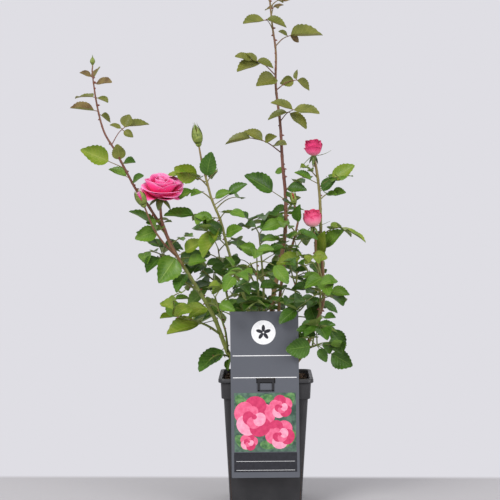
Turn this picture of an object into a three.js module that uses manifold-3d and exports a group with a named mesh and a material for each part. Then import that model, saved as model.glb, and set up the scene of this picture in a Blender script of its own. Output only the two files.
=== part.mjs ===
// A rose bush in a square black nursery pot with a card hung on its rim. Millimetres, +Z up, the origin
// in the middle of the pot's flat underside, the card towards -Y.

import * as THREE from "three";
import { mergeVertices } from "three/addons/utils/BufferGeometryUtils.js";
import Module from "manifold-3d";

const wasm = await Module();
wasm.setup();

const clearance = 0.3; // between pieces that meet
const rad = Math.PI / 180;
const up = new THREE.Vector3(0, 0, 1);
const vec = (point) => new THREE.Vector3(...point);

// Materials

const paint = (color, roughness) => new THREE.MeshStandardMaterial({ color, roughness, metalness: 0 });
const materials = {
  pot: paint("#2b2b2d", 0.5),
  soil: paint("#2e2119", 1),
  card: paint("#5c5f66", 0.45),
  clip: paint("#18181a", 0.4),
  bark: paint("#7d6a45", 0.7),
  leaf: paint("#4f7a2b", 0.5),
  petal: paint("#e23a78", 0.6),
  bud: paint("#7f8f3c", 0.6),
};

// Solids

function solidOf(geometry) {
  const bare = geometry.clone();
  bare.deleteAttribute("normal");
  bare.deleteAttribute("uv");
  const merged = mergeVertices(bare, 1e-3);
  const vertProperties = merged.getAttribute("position").array;
  const triVerts = new Uint32Array(merged.index.array);
  return new wasm.Manifold(new wasm.Mesh({ numProp: 3, vertProperties, triVerts }));
}

function geometryFrom(points, faces) {
  const geometry = new THREE.BufferGeometry().setFromPoints(points);
  return geometry.setIndex(faces.flat());
}

// The largest body of a union, with any sealed hollow filled and loose scraps dropped.
function fuse(solids) {
  const bodies = wasm.Manifold.union(solids).decompose();
  return bodies.reduce((best, body) => (body.volume() > best.volume() ? body : best));
}

function addNode(group, name, solid, material) {
  const made = solid.getMesh();
  const position = new THREE.BufferAttribute(new Float32Array(made.vertProperties), 3);
  const geometry = new THREE.BufferGeometry().setAttribute("position", position);
  geometry.setIndex(new THREE.BufferAttribute(new Uint32Array(made.triVerts), 1));
  const mesh = new THREE.Mesh(geometry, material);
  mesh.name = name;
  group.add(mesh);
}

// Moves a solid that stands on the origin to a foot, its +Z turned to an axis.
function stand(solid, foot, axis) {
  const turned = new THREE.Quaternion().setFromUnitVectors(up, axis.clone().normalize());
  const matrix = new THREE.Matrix4().compose(foot, turned, new THREE.Vector3(1, 1, 1));
  return solid.transform(matrix.elements);
}

// Pot, soil and card

const pot = { height: 205, rim: 75, collar: 71.4, body: 66.6, base: 57, corner: 12, wall: 2 };
const flangeHeight = 7;
const collarHeight = 26;
const floorThickness = 3;
const soilTop = 190;

// A lathe whose circles become squares with rounded corners, from half widths and heights.
function squareLathe(profile, corner) {
  const cornerSteps = 4;
  const points = profile.map(([half, z]) => new THREE.Vector2(half, z));
  const geometry = new THREE.LatheGeometry(points, 4 * cornerSteps);
  const position = geometry.getAttribute("position");
  for (let i = 0; i < position.count; i++) {
    const step = Math.floor(i / points.length) % (4 * cornerSteps);
    const [half, z] = profile[i % points.length];
    const side = Math.floor(step / cornerSteps);
    const angle = (side + (step % cornerSteps) / (cornerSteps - 1)) * 90 * rad;
    const middle = (side + 0.5) * 90 * rad;
    const round = Math.min(corner, half);
    const shift = (half - round) * Math.SQRT2;
    const x = Math.cos(middle) * shift + Math.cos(angle) * round;
    const y = Math.sin(middle) * shift + Math.sin(angle) * round;
    position.setXYZ(i, x, y, z);
  }
  return solidOf(geometry);
}

// Half width of the pot's outside under the collar at a height.
function bodyHalf(z) {
  return pot.base + ((pot.body - pot.base) * z) / (pot.height - collarHeight - flangeHeight);
}

function potSolid() {
  const flangeBottom = pot.height - flangeHeight;
  const collarBottom = flangeBottom - collarHeight;
  const profile = [
    [0, 0],
    [pot.base, 0],
    [pot.body, collarBottom],
    [pot.collar - 1.5, collarBottom + 1],
    [pot.collar, flangeBottom],
    [pot.rim, flangeBottom + 1],
    [pot.rim, pot.height],
    [pot.collar - pot.wall, pot.height],
    [pot.collar - pot.wall - 1.5, collarBottom + 3],
    [pot.body - pot.wall, collarBottom],
    [bodyHalf(floorThickness) - pot.wall, floorThickness],
    [0, floorThickness],
  ];
  return squareLathe(profile, pot.corner);
}

function soilSolid() {
  const collarBottom = pot.height - flangeHeight - collarHeight;
  const inset = pot.wall + clearance;
  const bottom = floorThickness + clearance;
  const ledge = collarBottom + 3 + clearance;
  const profile = [
    [0, bottom],
    [bodyHalf(bottom) - inset, bottom],
    [pot.body - inset, collarBottom],
    [pot.body - inset, ledge],
    [pot.collar - 1.5 - inset, ledge + 1],
    [pot.collar - 1 - inset, soilTop - 6],
    [52, soilTop - 2],
    [24, soilTop],
    [0, soilTop],
  ];
  return squareLathe(profile, pot.corner);
}

const card = { width: 107, height: 262, thickness: 1, bottom: 50, back: -76.2, lean: 0.6 * rad };
const slot = { width: 30, height: 9, bottom: 199 };
const clip = { width: 26, thickness: 1.2, drop: 20, leg: 3.5, bar: 6, window: 12, armBottom: 192 };

function cardSolid() {
  const shape = new THREE.Shape();
  shape.moveTo(-card.width / 2, 0);
  shape.lineTo(card.width / 2, 0);
  shape.lineTo(card.width / 2, card.height);
  shape.lineTo(-card.width / 2, card.height);
  const sheet = new THREE.ExtrudeGeometry(shape, { depth: card.thickness, bevelEnabled: false });
  sheet.rotateX(90 * rad);
  sheet.rotateY(-card.lean);
  sheet.translate(0, card.back, card.bottom);
  const opening = new THREE.BoxGeometry(slot.width, 10, slot.height);
  opening.translate(0, card.back, slot.bottom + slot.height / 2);
  return solidOf(sheet).subtract(solidOf(opening));
}

// The clip hooks over the rim, comes out of the card's slot and ends in a frame on the card's face.
function clipSolid() {
  const inner = -pot.collar + pot.wall + 0.7 + clearance; // the collar's inside slopes in by 0.7 there
  const top = pot.height + clearance;
  const front = card.back - card.thickness - clearance - clip.thickness;
  const crest = top + clip.thickness;
  const boxes = [
    [clip.thickness, crest - clip.armBottom, inner, clip.armBottom],
    [inner + clip.thickness - front, clip.thickness, front, top],
    [clip.thickness, clip.drop, front, crest - clip.drop],
  ];
  const solids = boxes.map(([deep, high, y, z]) => {
    const box = new THREE.BoxGeometry(clip.width, deep, high);
    return solidOf(box.translate(0, y + deep / 2, z + high / 2));
  });
  const window = new THREE.BoxGeometry(clip.width - 2 * clip.leg, 4, clip.window);
  window.translate(0, front, crest - clip.bar - clip.window / 2);
  return wasm.Manifold.union(solids).subtract(solidOf(window));
}

// Limbs

const spanSteps = 2; // rings between two points of a limb

function lineThrough(points, steps = spanSteps) {
  const curve = new THREE.CatmullRomCurve3(points.map(vec), false, "catmullrom", 0.5);
  return curve.getPoints((points.length - 1) * steps);
}

function lengthOf(line) {
  return line.slice(1).reduce((sum, point, i) => sum + point.distanceTo(line[i]), 0);
}

function endDirection(line) {
  return line.at(-1).clone().sub(line.at(-2)).normalize();
}

// A tapering limb along a line. A margin makes it a cutter for its neighbours, and a lead is the direction
// that its first ring faces, where it carries on another limb.
function limbSolid(line, radii, sides, { margin = 0, lead } = {}) {
  const total = lengthOf(line);
  const points = [];
  const faces = [];
  let across = new THREE.Vector3(1, 0, 0);
  let walked = 0;
  line.forEach((centre, ring) => {
    const before = line[Math.max(ring - 1, 0)];
    const after = line[Math.min(ring + 1, line.length - 1)];
    walked += centre.distanceTo(before);
    const along = ring === 0 && lead ? lead : after.clone().sub(before).normalize();
    across = across.clone().addScaledVector(along, -across.dot(along)).normalize();
    const beside = along.clone().cross(across);
    const share = (walked / total) * (radii.length - 1);
    const low = Math.min(Math.floor(share), radii.length - 2);
    const radius = THREE.MathUtils.lerp(radii[low], radii[low + 1], share - low) + margin;
    for (let k = 0; k < sides; k++) {
      const angle = (2 * Math.PI * k) / sides;
      const arm = across.clone().multiplyScalar(Math.cos(angle) * radius);
      points.push(centre.clone().add(arm).addScaledVector(beside, Math.sin(angle) * radius));
      const next = (k + 1) % sides;
      const first = (ring - 1) * sides;
      if (ring > 0) {
        faces.push([first + k, first + next, first + sides + next]);
        faces.push([first + k, first + sides + next, first + sides + k]);
      }
    }
  });
  const last = (line.length - 1) * sides;
  for (let k = 1; k < sides - 1; k++) {
    faces.push([0, k + 1, k]);
    faces.push([last, last + k, last + k + 1]);
  }
  return solidOf(geometryFrom(points, faces));
}

// The short stem, cut flat at the soil: a root flare, a waist and the knob that the canes spring from.
const stem = {
  points: [[0, 0, soilTop - 4], [0, 0, 197], [-1, 1, 208], [0, 2, 221]],
  radii: [18, 12, 14, 8],
  sides: 10,
};

function stemSolid() {
  const whole = limbSolid(lineThrough(stem.points), stem.radii, stem.sides);
  return whole.trimByPlane([0, 0, 1], soilTop + clearance);
}

// Each cane or shoot: what it springs from, its radii from foot to tip and the points it runs through.
const limbs = [
  {
    name: "cane_left",
    from: "stem",
    radii: [4, 2.9],
    points: [
      [-6, -1, 206],
      [-38, -6, 213],
      [-60, -9, 238],
      [-83, -12, 297],
      [-111, -16, 346],
      [-146, -21, 402],
    ],
  },
  {
    name: "cane_left_leader",
    from: "cane_left",
    radii: [2.6, 2.2],
    points: [[-139, -20, 391], [-151, -8, 412], [-166, -6, 440], [-190, -12, 479]],
  },
  {
    name: "cane_centre_left",
    from: "stem",
    radii: [3.4, 2.5],
    points: [[-3, 0, 214], [-11, -6, 245], [-24, -12, 292], [-39, -17, 345]],
  },
  {
    name: "cane_centre",
    from: "stem",
    radii: [3.2, 2.2],
    points: [[0, -4, 206], [-2, -24, 218], [-6, -36, 242], [-8, -42, 266]],
  },
  {
    name: "cane_tall",
    from: "stem",
    radii: [4.4, 3.3],
    points: [[2, 4, 214], [7, 9, 270], [12, 13, 330], [24, 16, 385], [31, 18, 430]],
  },
  {
    name: "cane_inner_right",
    from: "stem",
    radii: [3, 2.3],
    points: [[5, -1, 212], [16, -10, 245], [20, -16, 300], [24, -22, 345], [29, -26, 380]],
  },
  {
    name: "cane_right",
    from: "stem",
    radii: [3.8, 2.6],
    points: [
      [6, -2, 206],
      [36, -6, 213],
      [56, -9, 234],
      [76, -12, 275],
      [92, -14, 325],
      [91, -14, 375],
      [88, -13, 412],
    ],
  },
  {
    name: "cane_right_fork",
    from: "cane_right",
    radii: [2.3, 2],
    points: [[92, -14, 348], [86, -26, 372], [80, -30, 398], [79, -31, 424]],
  },
  {
    name: "cane_back_left",
    from: "stem",
    radii: [3.4, 2.4],
    points: [[-4, 4, 208], [-26, 26, 228], [-42, 42, 254], [-52, 52, 280]],
  },
  {
    name: "cane_back",
    from: "stem",
    radii: [3.2, 2.3],
    points: [[-2, 8, 212], [-6, 28, 234], [-6, 42, 264], [-4, 52, 296]],
  },
  {
    name: "cane_back_right",
    from: "stem",
    radii: [3.4, 2.4],
    points: [[4, 4, 208], [24, 24, 226], [36, 42, 250], [42, 54, 278]],
  },
  {
    name: "shoot_left_mid",
    from: "cane_left",
    radii: [2.2, 1.9],
    points: [[-106, -20, 340], [-124, -10, 350], [-142, -2, 362]],
  },
  {
    name: "shoot_left_low",
    from: "cane_left",
    radii: [2, 1.7],
    points: [[-73, -12, 270], [-92, -22, 284], [-112, -30, 293]],
  },
  {
    name: "shoot_low_left",
    from: "cane_left",
    radii: [2, 1.7],
    points: [[-62, -9, 240], [-62, -26, 256], [-64, -40, 276]],
  },
  {
    name: "shoot_sprig_left",
    from: "cane_left",
    radii: [1.7, 1.4],
    points: [[-58, -8, 234], [-68, -24, 238], [-76, -34, 239]],
  },
  {
    name: "shoot_right_mid",
    from: "cane_right",
    radii: [2.1, 1.8],
    points: [[80, -12, 284], [84, -26, 298], [86, -38, 316]],
  },
  {
    name: "shoot_right_low",
    from: "cane_right",
    radii: [2, 1.7],
    points: [[60, -9, 241], [66, -28, 248], [72, -46, 253]],
  },
];

const limbSides = 5;
const carve = clearance + 0.1; // how far a limb's skin stays from the one it springs from
for (const limb of limbs) limb.line = lineThrough(limb.points);
const limbNamed = new Map(limbs.map((limb) => [limb.name, limb]));

function cutterOf(name) {
  const margin = carve;
  if (name === "stem") return limbSolid(lineThrough(stem.points), stem.radii, stem.sides, { margin });
  const parent = limbNamed.get(name);
  return limbSolid(parent.line, parent.radii, limbSides, { margin });
}

function limbNode(limb) {
  return fuse([limbSolid(limb.line, limb.radii, limbSides).subtract(cutterOf(limb.from))]);
}

// Leaves

const leaf = {
  stalk: 54, // from the stem to the end leaflet, on a leaf of size 1
  length: 37,
  width: 0.64, // of its length
  thickness: 0.036,
  stalkRadius: 1.1,
  joint: 2.4, // of the stalk's length that a leaflet's root takes up
  pairs: [0.42, 0.78], // places of the leaflet pairs along the stalk
  splay: 62 * rad,
};

// A seeded dice: the same numbers in the same order on every run.
function diceOf(seed) {
  let state = seed;
  return (low = 0, high = 1) => {
    state = (state * 1664525 + 1013904223) % 4294967296;
    return low + ((high - low) * state) / 4294967296;
  };
}

// A leaflet is widest a little before its middle; its edges lift there and its tip hangs.
const widest = 0.44;
const edgeLift = 0.08;
const tipDrop = 0.1;

function leafletPoint(leaflet, share, side, lift) {
  const half = (leaflet.length * leaflet.width) / 2;
  return leaflet.foot
    .clone()
    .addScaledVector(leaflet.along, leaflet.length * share)
    .addScaledVector(leaflet.across, half * side)
    .addScaledVector(leaflet.face, leaflet.length * lift);
}

// Four points round a leaflet: one edge, the underside of the midrib, the other edge and its top.
function leafletRing(leaflet) {
  const thick = leaf.thickness / 2;
  return [
    leafletPoint(leaflet, widest, 1, edgeLift),
    leafletPoint(leaflet, widest, 0, -thick),
    leafletPoint(leaflet, widest, -1, edgeLift),
    leafletPoint(leaflet, widest, 0, thick),
  ];
}

// The frame of one leaflet that leaves the stalk at a splay, drooping and rolled by small angles. Its face
// looks to the sky direction, which leans to the light at the front.
function leafletOf(foot, ahead, side, splay, droop, roll, length, sky) {
  const along = ahead.clone().multiplyScalar(Math.cos(splay)).addScaledVector(side, Math.sin(splay));
  along.z -= Math.sin(droop);
  along.normalize();
  const level = sky.clone().cross(along).normalize();
  const face = along.clone().cross(level);
  const across = level.clone().multiplyScalar(Math.cos(roll)).addScaledVector(face, Math.sin(roll));
  return { foot, along, across, face: along.clone().cross(across), length, width: leaf.width };
}

// The plan of a whole leaf: its stalk's course and its leaflets, from a few throws of the dice.
function leafPlan(foot, turn, rise, size, dice, pairs) {
  const heading = turn + dice(-14, 14) * rad;
  const climb = rise + dice(-8, 8) * rad;
  const scale = size * dice(0.9, 1.1);
  const sag = dice(0.25, 0.55);
  const sky = new THREE.Vector3(dice(-0.3, 0.3), -dice(0.05, 1.3), 1);
  const out = new THREE.Vector3(Math.cos(heading), Math.sin(heading), 0);
  const side = new THREE.Vector3(-out.y, out.x, 0);
  const length = leaf.stalk * scale;
  const place = (share) => {
    const point = foot.clone().addScaledVector(out, share * length * Math.cos(climb));
    point.z += length * (share * Math.sin(climb) - sag * share * share);
    return point;
  };
  const headingAt = (share) => place(share + 0.02).sub(place(share - 0.02)).normalize();
  const leaflets = [];
  leaf.pairs.slice(2 - pairs).forEach((share, pair) => {
    for (const hand of [-1, 1]) {
      const long = leaf.length * scale * (0.72 + 0.12 * (pair + 2 - pairs)) * dice(0.9, 1.1);
      const droop = dice(-8, 24) * rad;
      const roll = dice(-20, 20) * rad;
      const splay = hand * leaf.splay * dice(0.94, 1.06);
      const made = leafletOf(place(share), headingAt(share), side, splay, droop, roll, long, sky);
      leaflets.push({ ...made, share, hand });
    }
  });
  const droop = dice(-4, 28) * rad;
  const roll = dice(-20, 20) * rad;
  const long = leaf.length * scale * dice(0.95, 1.15);
  const last = leafletOf(place(1), headingAt(1), side, 0, droop, roll, long, sky);
  leaflets.push({ ...last, share: 1, hand: 0 });
  return { place, headingAt, side, length, leaflets, pairs };
}

// Closes a band between two rings of equal count, or a ring and a point.
function band(low, high) {
  return low.flatMap((_, k) => {
    const next = (k + 1) % low.length;
    const closed = [low[k], low[next], high[k % high.length]];
    return high.length === 1 ? [closed] : [closed, [low[next], high[next], high[k]]];
  });
}

// A whole leaf as one closed body: a three-sided stalk with each leaflet sewn into a side of it.
function leafSolid(plan, kept) {
  const points = [];
  const faces = [];
  const add = (list) => list.map((point) => points.push(point) - 1);
  const ringAt = (share) => {
    const lift = plan.headingAt(share).cross(plan.side).normalize();
    const radius = leaf.stalkRadius * (1.25 - 0.25 * share);
    const corners = [[0, 1], [0.87, -0.5], [-0.87, -0.5]].map(([x, y]) => {
      const corner = plan.place(share).addScaledVector(plan.side, x * radius);
      return corner.addScaledVector(lift, y * radius);
    });
    return add(corners);
  };
  const sewn = (root, leaflet, order) => {
    const made = add(leafletRing(leaflet));
    const ring = order.map((k) => made[k]);
    const tip = add([leafletPoint(leaflet, 1, 0, -tipDrop)]);
    if (root) faces.push(...band(root, ring));
    faces.push(...band(ring, tip));
    return ring;
  };
  const half = leaf.joint / 2 / plan.length;
  const joints = leaf.pairs.slice(2 - plan.pairs);
  const shares = [0, ...joints.flatMap((share) => [share - half, share + half]), 1];
  const rings = shares.map(ringAt);
  faces.push(rings[0]);
  for (let i = 1; i < rings.length; i++) {
    const [low, high] = [rings[i - 1], rings[i]];
    for (let k = 0; k < 3; k++) {
      const next = (k + 1) % 3;
      const hand = [1, 0, -1][k];
      const joint = joints.find((share) => Math.abs(share - half - shares[i - 1]) < 1e-6);
      const leaflet = hand !== 0 && kept.find((item) => item.hand === hand && item.share === joint);
      if (leaflet) {
        const root = [low[k], high[k], high[next], low[next]];
        sewn(root, leaflet, hand > 0 ? [3, 2, 1, 0] : [1, 0, 3, 2]);
      } else {
        faces.push([low[k], high[next], low[next]], [low[k], high[k], high[next]]);
      }
    }
  }
  const [top, right, left] = rings.at(-1);
  const last = kept.find((item) => item.hand === 0);
  if (last) {
    const [rightEdge, rib, leftEdge, under] = sewn(null, last, [0, 3, 2, 1]);
    faces.push([top, left, leftEdge], [left, right, under], [right, top, rightEdge], [top, leftEdge, rib]);
    faces.push([left, under, leftEdge], [right, rightEdge, under], [top, rib, rightEdge]);
  } else {
    faces.push([top, left, right]);
  }
  return solidOf(geometryFrom(points, faces));
}

// A single blade of eight faces, for sepals.
function bladeSolid(blade) {
  const ring = leafletRing(blade);
  const points = [blade.foot, ...ring, leafletPoint(blade, 1, 0, 0)];
  const faces = [...band([4, 3, 2, 1], [5]), ...band([1, 2, 3, 4], [0])];
  return solidOf(geometryFrom(points, faces));
}

// Masses of leaves. Each has one stem, which starts at its limb's tip; "nodes" gives the height, the
// heading in degrees and the size of each leaf where the stem is bare enough to count them, and the
// others fill up by "step": leaves by turns, and every second time a side twig with leaves of its own.

const masses = [
  {
    name: "foliage_left_leader",
    limb: "cane_left_leader",
    radii: [2.2, 1.1],
    seed: 11,
    points: [
      [-207, -16, 501],
      [-225, -20, 535],
      [-241, -22, 565],
      [-259, -21, 596],
      [-270, -20, 638],
      [-277, -19, 686],
      [-277, -18, 700],
    ],
    nodes: [
      [490, 150, 0.85],
      [514, 205, 0.8],
      [534, 176, 1.1],
      [548, 20, 0.65],
      [578, 22, 1.05],
      [606, 250, 0.5],
      [626, 184, 0.8],
      [640, 0, 0.55],
      [652, 172, 0.65],
      [660, 5, 0.5],
      [678, -12, 0.55],
      [688, 160, 0.4],
      [694, 30, 0.4],
    ],
  },
  {
    name: "foliage_left_bloom",
    limb: "cane_left",
    radii: [2.9, 2.3],
    seed: 23,
    points: [[-157, -24, 426], [-167, -26, 455]],
    nodes: [
      [414, 8, 0.8],
      [428, 205, 0.75],
      [440, 110, 0.7],
    ],
  },
  {
    name: "foliage_left_mid",
    limb: "shoot_left_mid",
    radii: [1.9, 1],
    seed: 31,
    points: [[-156, 6, 376], [-168, 14, 398]],
    step: 14,
    size: 1.2,
    turn: 190,
    twigs: 2,
  },
  {
    name: "foliage_left_low",
    limb: "shoot_left_low",
    radii: [1.7, 1],
    seed: 43,
    points: [[-132, -37, 298], [-150, -42, 306]],
    step: 14,
    size: 1.15,
    turn: 170,
    twigs: 2,
  },
  {
    name: "foliage_sprig_left",
    limb: "shoot_sprig_left",
    radii: [1.4, 1],
    seed: 57,
    points: [[-84, -42, 236], [-90, -48, 232]],
    nodes: [[235, 190, 0.8]],
  },
  {
    name: "foliage_centre_left",
    limb: "cane_centre_left",
    radii: [2.5, 1.7],
    seed: 61,
    points: [
      [-51, -20, 376],
      [-64, -22, 420],
      [-72, -23, 452],
      [-86, -25, 486],
      [-94, -26, 515],
      [-102, -27, 545],
    ],
    nodes: [
      [366, 95, 0.9],
      [384, 250, 0.85],
      [410, 178, 1.1],
      [426, 12, 1],
      [442, 192, 1],
      [456, -45, 0.75],
      [471, 14, 1.25],
      [486, 184, 1.1],
      [506, 168, 1.15],
      [514, 40, 1],
    ],
  },
  {
    name: "foliage_low_left",
    limb: "shoot_low_left",
    radii: [1.7, 1],
    seed: 71,
    points: [[-72, -52, 304], [-80, -60, 334]],
    step: 14,
    size: 1.2,
    turn: 200,
    twigs: 3,
  },
  {
    name: "foliage_centre",
    limb: "cane_centre",
    radii: [2.2, 1.1],
    seed: 83,
    points: [[-10, -50, 310], [-13, -58, 350], [-14, -64, 388]],
    step: 14,
    size: 1.2,
    turn: 250,
    twigs: 4,
  },
  {
    name: "foliage_tall",
    limb: "cane_tall",
    radii: [3.3, 1.4],
    seed: 97,
    points: [
      [32, 19, 490],
      [27, 20, 545],
      [23, 21, 611],
      [16, 22, 670],
      [16, 22, 725],
      [10, 22, 770],
      [6, 22, 812],
    ],
    nodes: [
      [440, 216, 1.3],
      [452, 95, 1],
      [462, -64, 1.05],
      [478, 196, 1.1],
      [500, -8, 1.2],
      [524, 75, 0.7],
      [558, 172, 1.25],
      [597, -20, 0.9],
      [624, 168, 0.75],
      [634, -10, 1.05],
      [664, 165, 0.8],
      [676, 8, 0.95],
      [700, 172, 1.05],
      [738, 10, 1.1],
      [758, 174, 0.9],
      [768, 0, 0.6],
      [784, 60, 0.5],
      [798, -20, 0.45],
      [806, 170, 0.4],
    ],
  },
  {
    name: "foliage_inner_right",
    limb: "cane_inner_right",
    radii: [2.3, 1.7],
    seed: 101,
    points: [[43, -29, 417], [51, -31, 451]],
    nodes: [
      [396, -95, 0.8],
      [408, 196, 0.75],
      [420, -70, 0.85],
      [434, 215, 0.8],
    ],
  },
  {
    name: "foliage_right_upper",
    limb: "cane_right",
    radii: [2.6, 2],
    seed: 113,
    points: [[88, -12, 440], [87, -11, 480], [84, -10, 515], [79, -10, 548]],
    nodes: [
      [426, -12, 1.15],
      [446, 60, 0.85],
      [474, 196, 0.8],
      [486, 10, 0.7],
      [506, -5, 1.2],
      [520, 184, 0.75],
      [528, 60, 0.5],
      [534, -10, 0.45],
    ],
  },
  {
    name: "foliage_right_mid",
    limb: "shoot_right_mid",
    radii: [1.8, 1],
    seed: 127,
    points: [[86, -47, 342], [82, -52, 376]],
    step: 14,
    size: 1.15,
    turn: 0,
    twigs: 3,
  },
  {
    name: "foliage_right_low",
    limb: "shoot_right_low",
    radii: [1.7, 1],
    seed: 139,
    points: [[78, -66, 257], [80, -84, 260]],
    step: 13,
    size: 1.1,
    turn: -20,
    twigs: 2,
  },
  {
    name: "foliage_back_left",
    limb: "cane_back_left",
    radii: [2.4, 1.1],
    seed: 149,
    points: [[-64, 66, 326], [-74, 78, 370], [-80, 88, 406]],
    step: 16,
    size: 1.25,
    turn: 130,
    twigs: 2,
  },
  {
    name: "foliage_back",
    limb: "cane_back",
    radii: [2.3, 1.1],
    seed: 151,
    points: [[-4, 66, 344], [-8, 78, 394], [-12, 86, 432]],
    step: 15,
    size: 1.25,
    turn: 60,
    twigs: 3,
  },
  {
    name: "foliage_back_right",
    limb: "cane_back_right",
    radii: [2.4, 1.1],
    seed: 163,
    points: [[48, 68, 322], [52, 80, 368], [52, 90, 408]],
    step: 16,
    size: 1.2,
    turn: 20,
    twigs: 2,
  },
];

// The stem goes on from its limb's tip along one curve with it, after the clearance.
function stemLine(mass) {
  const limb = limbNamed.get(mass.limb);
  const joined = lineThrough([...limb.points, ...mass.points]);
  const line = joined.slice((limb.points.length - 1) * spanSteps);
  line[0].addScaledVector(endDirection(limb.line), clearance);
  return line;
}
for (const mass of masses) mass.line = stemLine(mass);

function pointAt(line, distance) {
  let left = distance;
  for (let i = 1; i < line.length; i++) {
    const span = line[i].distanceTo(line[i - 1]);
    if (left <= span || i === line.length - 1) return line[i - 1].clone().lerp(line[i], left / span);
    left -= span;
  }
}

function distanceAtHeight(line, height) {
  let walked = 0;
  for (let i = 1; i < line.length; i++) {
    const span = line[i].distanceTo(line[i - 1]);
    const share = (height - line[i - 1].z) / (line[i].z - line[i - 1].z);
    if (share <= 1) return walked + span * Math.max(share, 0);
    walked += span;
  }
  return walked;
}

// Blossom

const blooms = [
  {
    name: "bloom_large",
    on: "foliage_left_bloom",
    foot: [-169, -27, 474],
    axis: [0.1, -0.25, 1],
    width: 76,
    height: 50,
    rings: [
      [5, 1, 0.5, 0],
      [5, 0.84, 0.8, 36],
      [3, 0.5, 1, 10],
    ],
    sepal: 24,
    spread: 84,
  },
  {
    name: "bloom_right_upper",
    on: "foliage_right_upper",
    foot: [77, -10, 556],
    axis: [-0.05, -0.12, 1],
    width: 31,
    height: 29,
    rings: [
      [4, 1, 0.86, 0],
      [2, 0.6, 1, 30],
    ],
    sepal: 26,
    spread: 104,
  },
  {
    name: "bloom_right_lower",
    on: "cane_right_fork",
    foot: [78, -32, 438],
    axis: [-0.06, -0.16, 1],
    width: 30,
    height: 28,
    rings: [
      [4, 1, 0.88, 20],
      [2, 0.6, 1, 0],
    ],
    sepal: 24,
    spread: 92,
  },
];

const buds = [
  {
    name: "bud_left",
    from: "cane_left",
    stalk: [[-142, -20, 395], [-158, -44, 413], [-176, -62, 440], [-190, -72, 475]],
    width: 17,
    height: 27,
    sepal: 16,
    open: 24,
  },
  {
    name: "bud_centre_left",
    on: "foliage_centre_left",
    stalk: [[-110, -28, 577]],
    width: 12,
    height: 27,
    sepal: 34,
    open: -4,
  },
  {
    name: "bud_inner_right",
    on: "foliage_inner_right",
    stalk: [[46, -33, 477]],
    width: 9,
    height: 21,
    sepal: 24,
    open: 4,
  },
];

const tipBud = { on: "foliage_left_leader", width: 6, height: 16 };

const lineOf = (name) => (limbNamed.get(name) ?? masses.find((mass) => mass.name === name)).line;
const tipRadius = (name) => (limbNamed.get(name) ?? masses.find((mass) => mass.name === name)).radii.at(-1);

// A closed patch from a grid of points: the two faces share their rim and part in the middle.
function patchSolid(grid, thickness) {
  const rows = grid.length;
  const columns = grid[0].length;
  const isRim = (r, c) => r === 0 || c === 0 || r === rows - 1 || c === columns - 1;
  const points = [];
  const ids = [[], []];
  grid.forEach((row, r) =>
    row.forEach((point, c) => {
      const id = r * columns + c;
      if (isRim(r, c)) {
        ids[0][id] = ids[1][id] = points.push(point) - 1;
        return;
      }
      const flat = grid[r + 1][c].clone().sub(grid[r - 1][c]);
      const normal = flat.cross(grid[r][c + 1].clone().sub(grid[r][c - 1])).normalize();
      ids[0][id] = points.push(point.clone().addScaledVector(normal, -thickness / 2)) - 1;
      ids[1][id] = points.push(point.clone().addScaledVector(normal, thickness / 2)) - 1;
    }),
  );
  const faces = [];
  for (let r = 0; r < rows - 1; r++) {
    for (let c = 0; c < columns - 1; c++) {
      const corner = r * columns + c;
      const corners = [corner, corner + 1, corner + columns + 1, corner + columns];
      const cutOther = (r === 0) === (c === 0) && (r === rows - 2) === (c === columns - 2);
      const split = cutOther ? [[0, 1, 3], [1, 2, 3]] : [[0, 1, 2], [0, 2, 3]];
      for (const [a, b, d] of split) {
        faces.push([ids[0][corners[a]], ids[0][corners[b]], ids[0][corners[d]]]);
        faces.push([ids[1][corners[a]], ids[1][corners[d]], ids[1][corners[b]]]);
      }
    }
  }
  return solidOf(geometryFrom(points, faces));
}

// One petal: a cupped patch that rises from the bloom's foot to a rounded lip.
function petalSolid(turn, halfSpread, reach, height, lip) {
  const grid = [0, 0.5, 1].map((rise) =>
    [-1, -0.45, 0.45, 1].map((side) => {
      const angle = turn + side * halfSpread * (0.6 + 0.4 * rise);
      const edge = 1 - 0.16 * side * side * rise;
      const out = 2 + (reach - 2) * Math.sin(rise * 90 * rad) ** 0.7 * (1 - 0.05 * side * side);
      const tall = height * (rise ** 1.35) * edge - lip * rise ** 4;
      return new THREE.Vector3(Math.cos(angle) * out, Math.sin(angle) * out, tall + 3);
    }),
  );
  return patchSolid(grid, 1.6);
}

function ovoidSolid(width, height, segments = 8) {
  const profile = [[0, 0], [0.34, 0.08], [0.5, 0.36], [0.36, 0.7], [0, 1]];
  const points = profile.map(([r, z]) => new THREE.Vector2(r * width, z * height));
  const geometry = new THREE.LatheGeometry(points, segments);
  geometry.rotateX(90 * rad);
  return solidOf(geometry);
}

// Five narrow sepals under a bloom or round a bud, from straight up to hanging by their spread.
function sepalSolids(length, spread, radius, lift) {
  return [0, 1, 2, 3, 4].map((k) => {
    const turn = (k * 72 + 20) * rad;
    const bend = (spread + 6 * Math.sin(k * 2.3)) * rad;
    const out = new THREE.Vector3(Math.cos(turn), Math.sin(turn), 0);
    const along = out.clone().multiplyScalar(Math.sin(bend)).addScaledVector(up, Math.cos(bend));
    const across = up.clone().cross(out);
    const face = along.clone().cross(across);
    const foot = out.clone().multiplyScalar(radius).addScaledVector(up, lift).addScaledVector(along, -2.5);
    return bladeSolid({ foot, along, across, face, length, width: 0.17 });
  });
}

// The line that carries a bloom or a bud on from the tip that it sits on.
function stalkLine(item, points) {
  const below = lineOf(item.on);
  const start = below.at(-1).clone().addScaledVector(endDirection(below), clearance);
  return [start, ...points.map(vec)];
}

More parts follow.
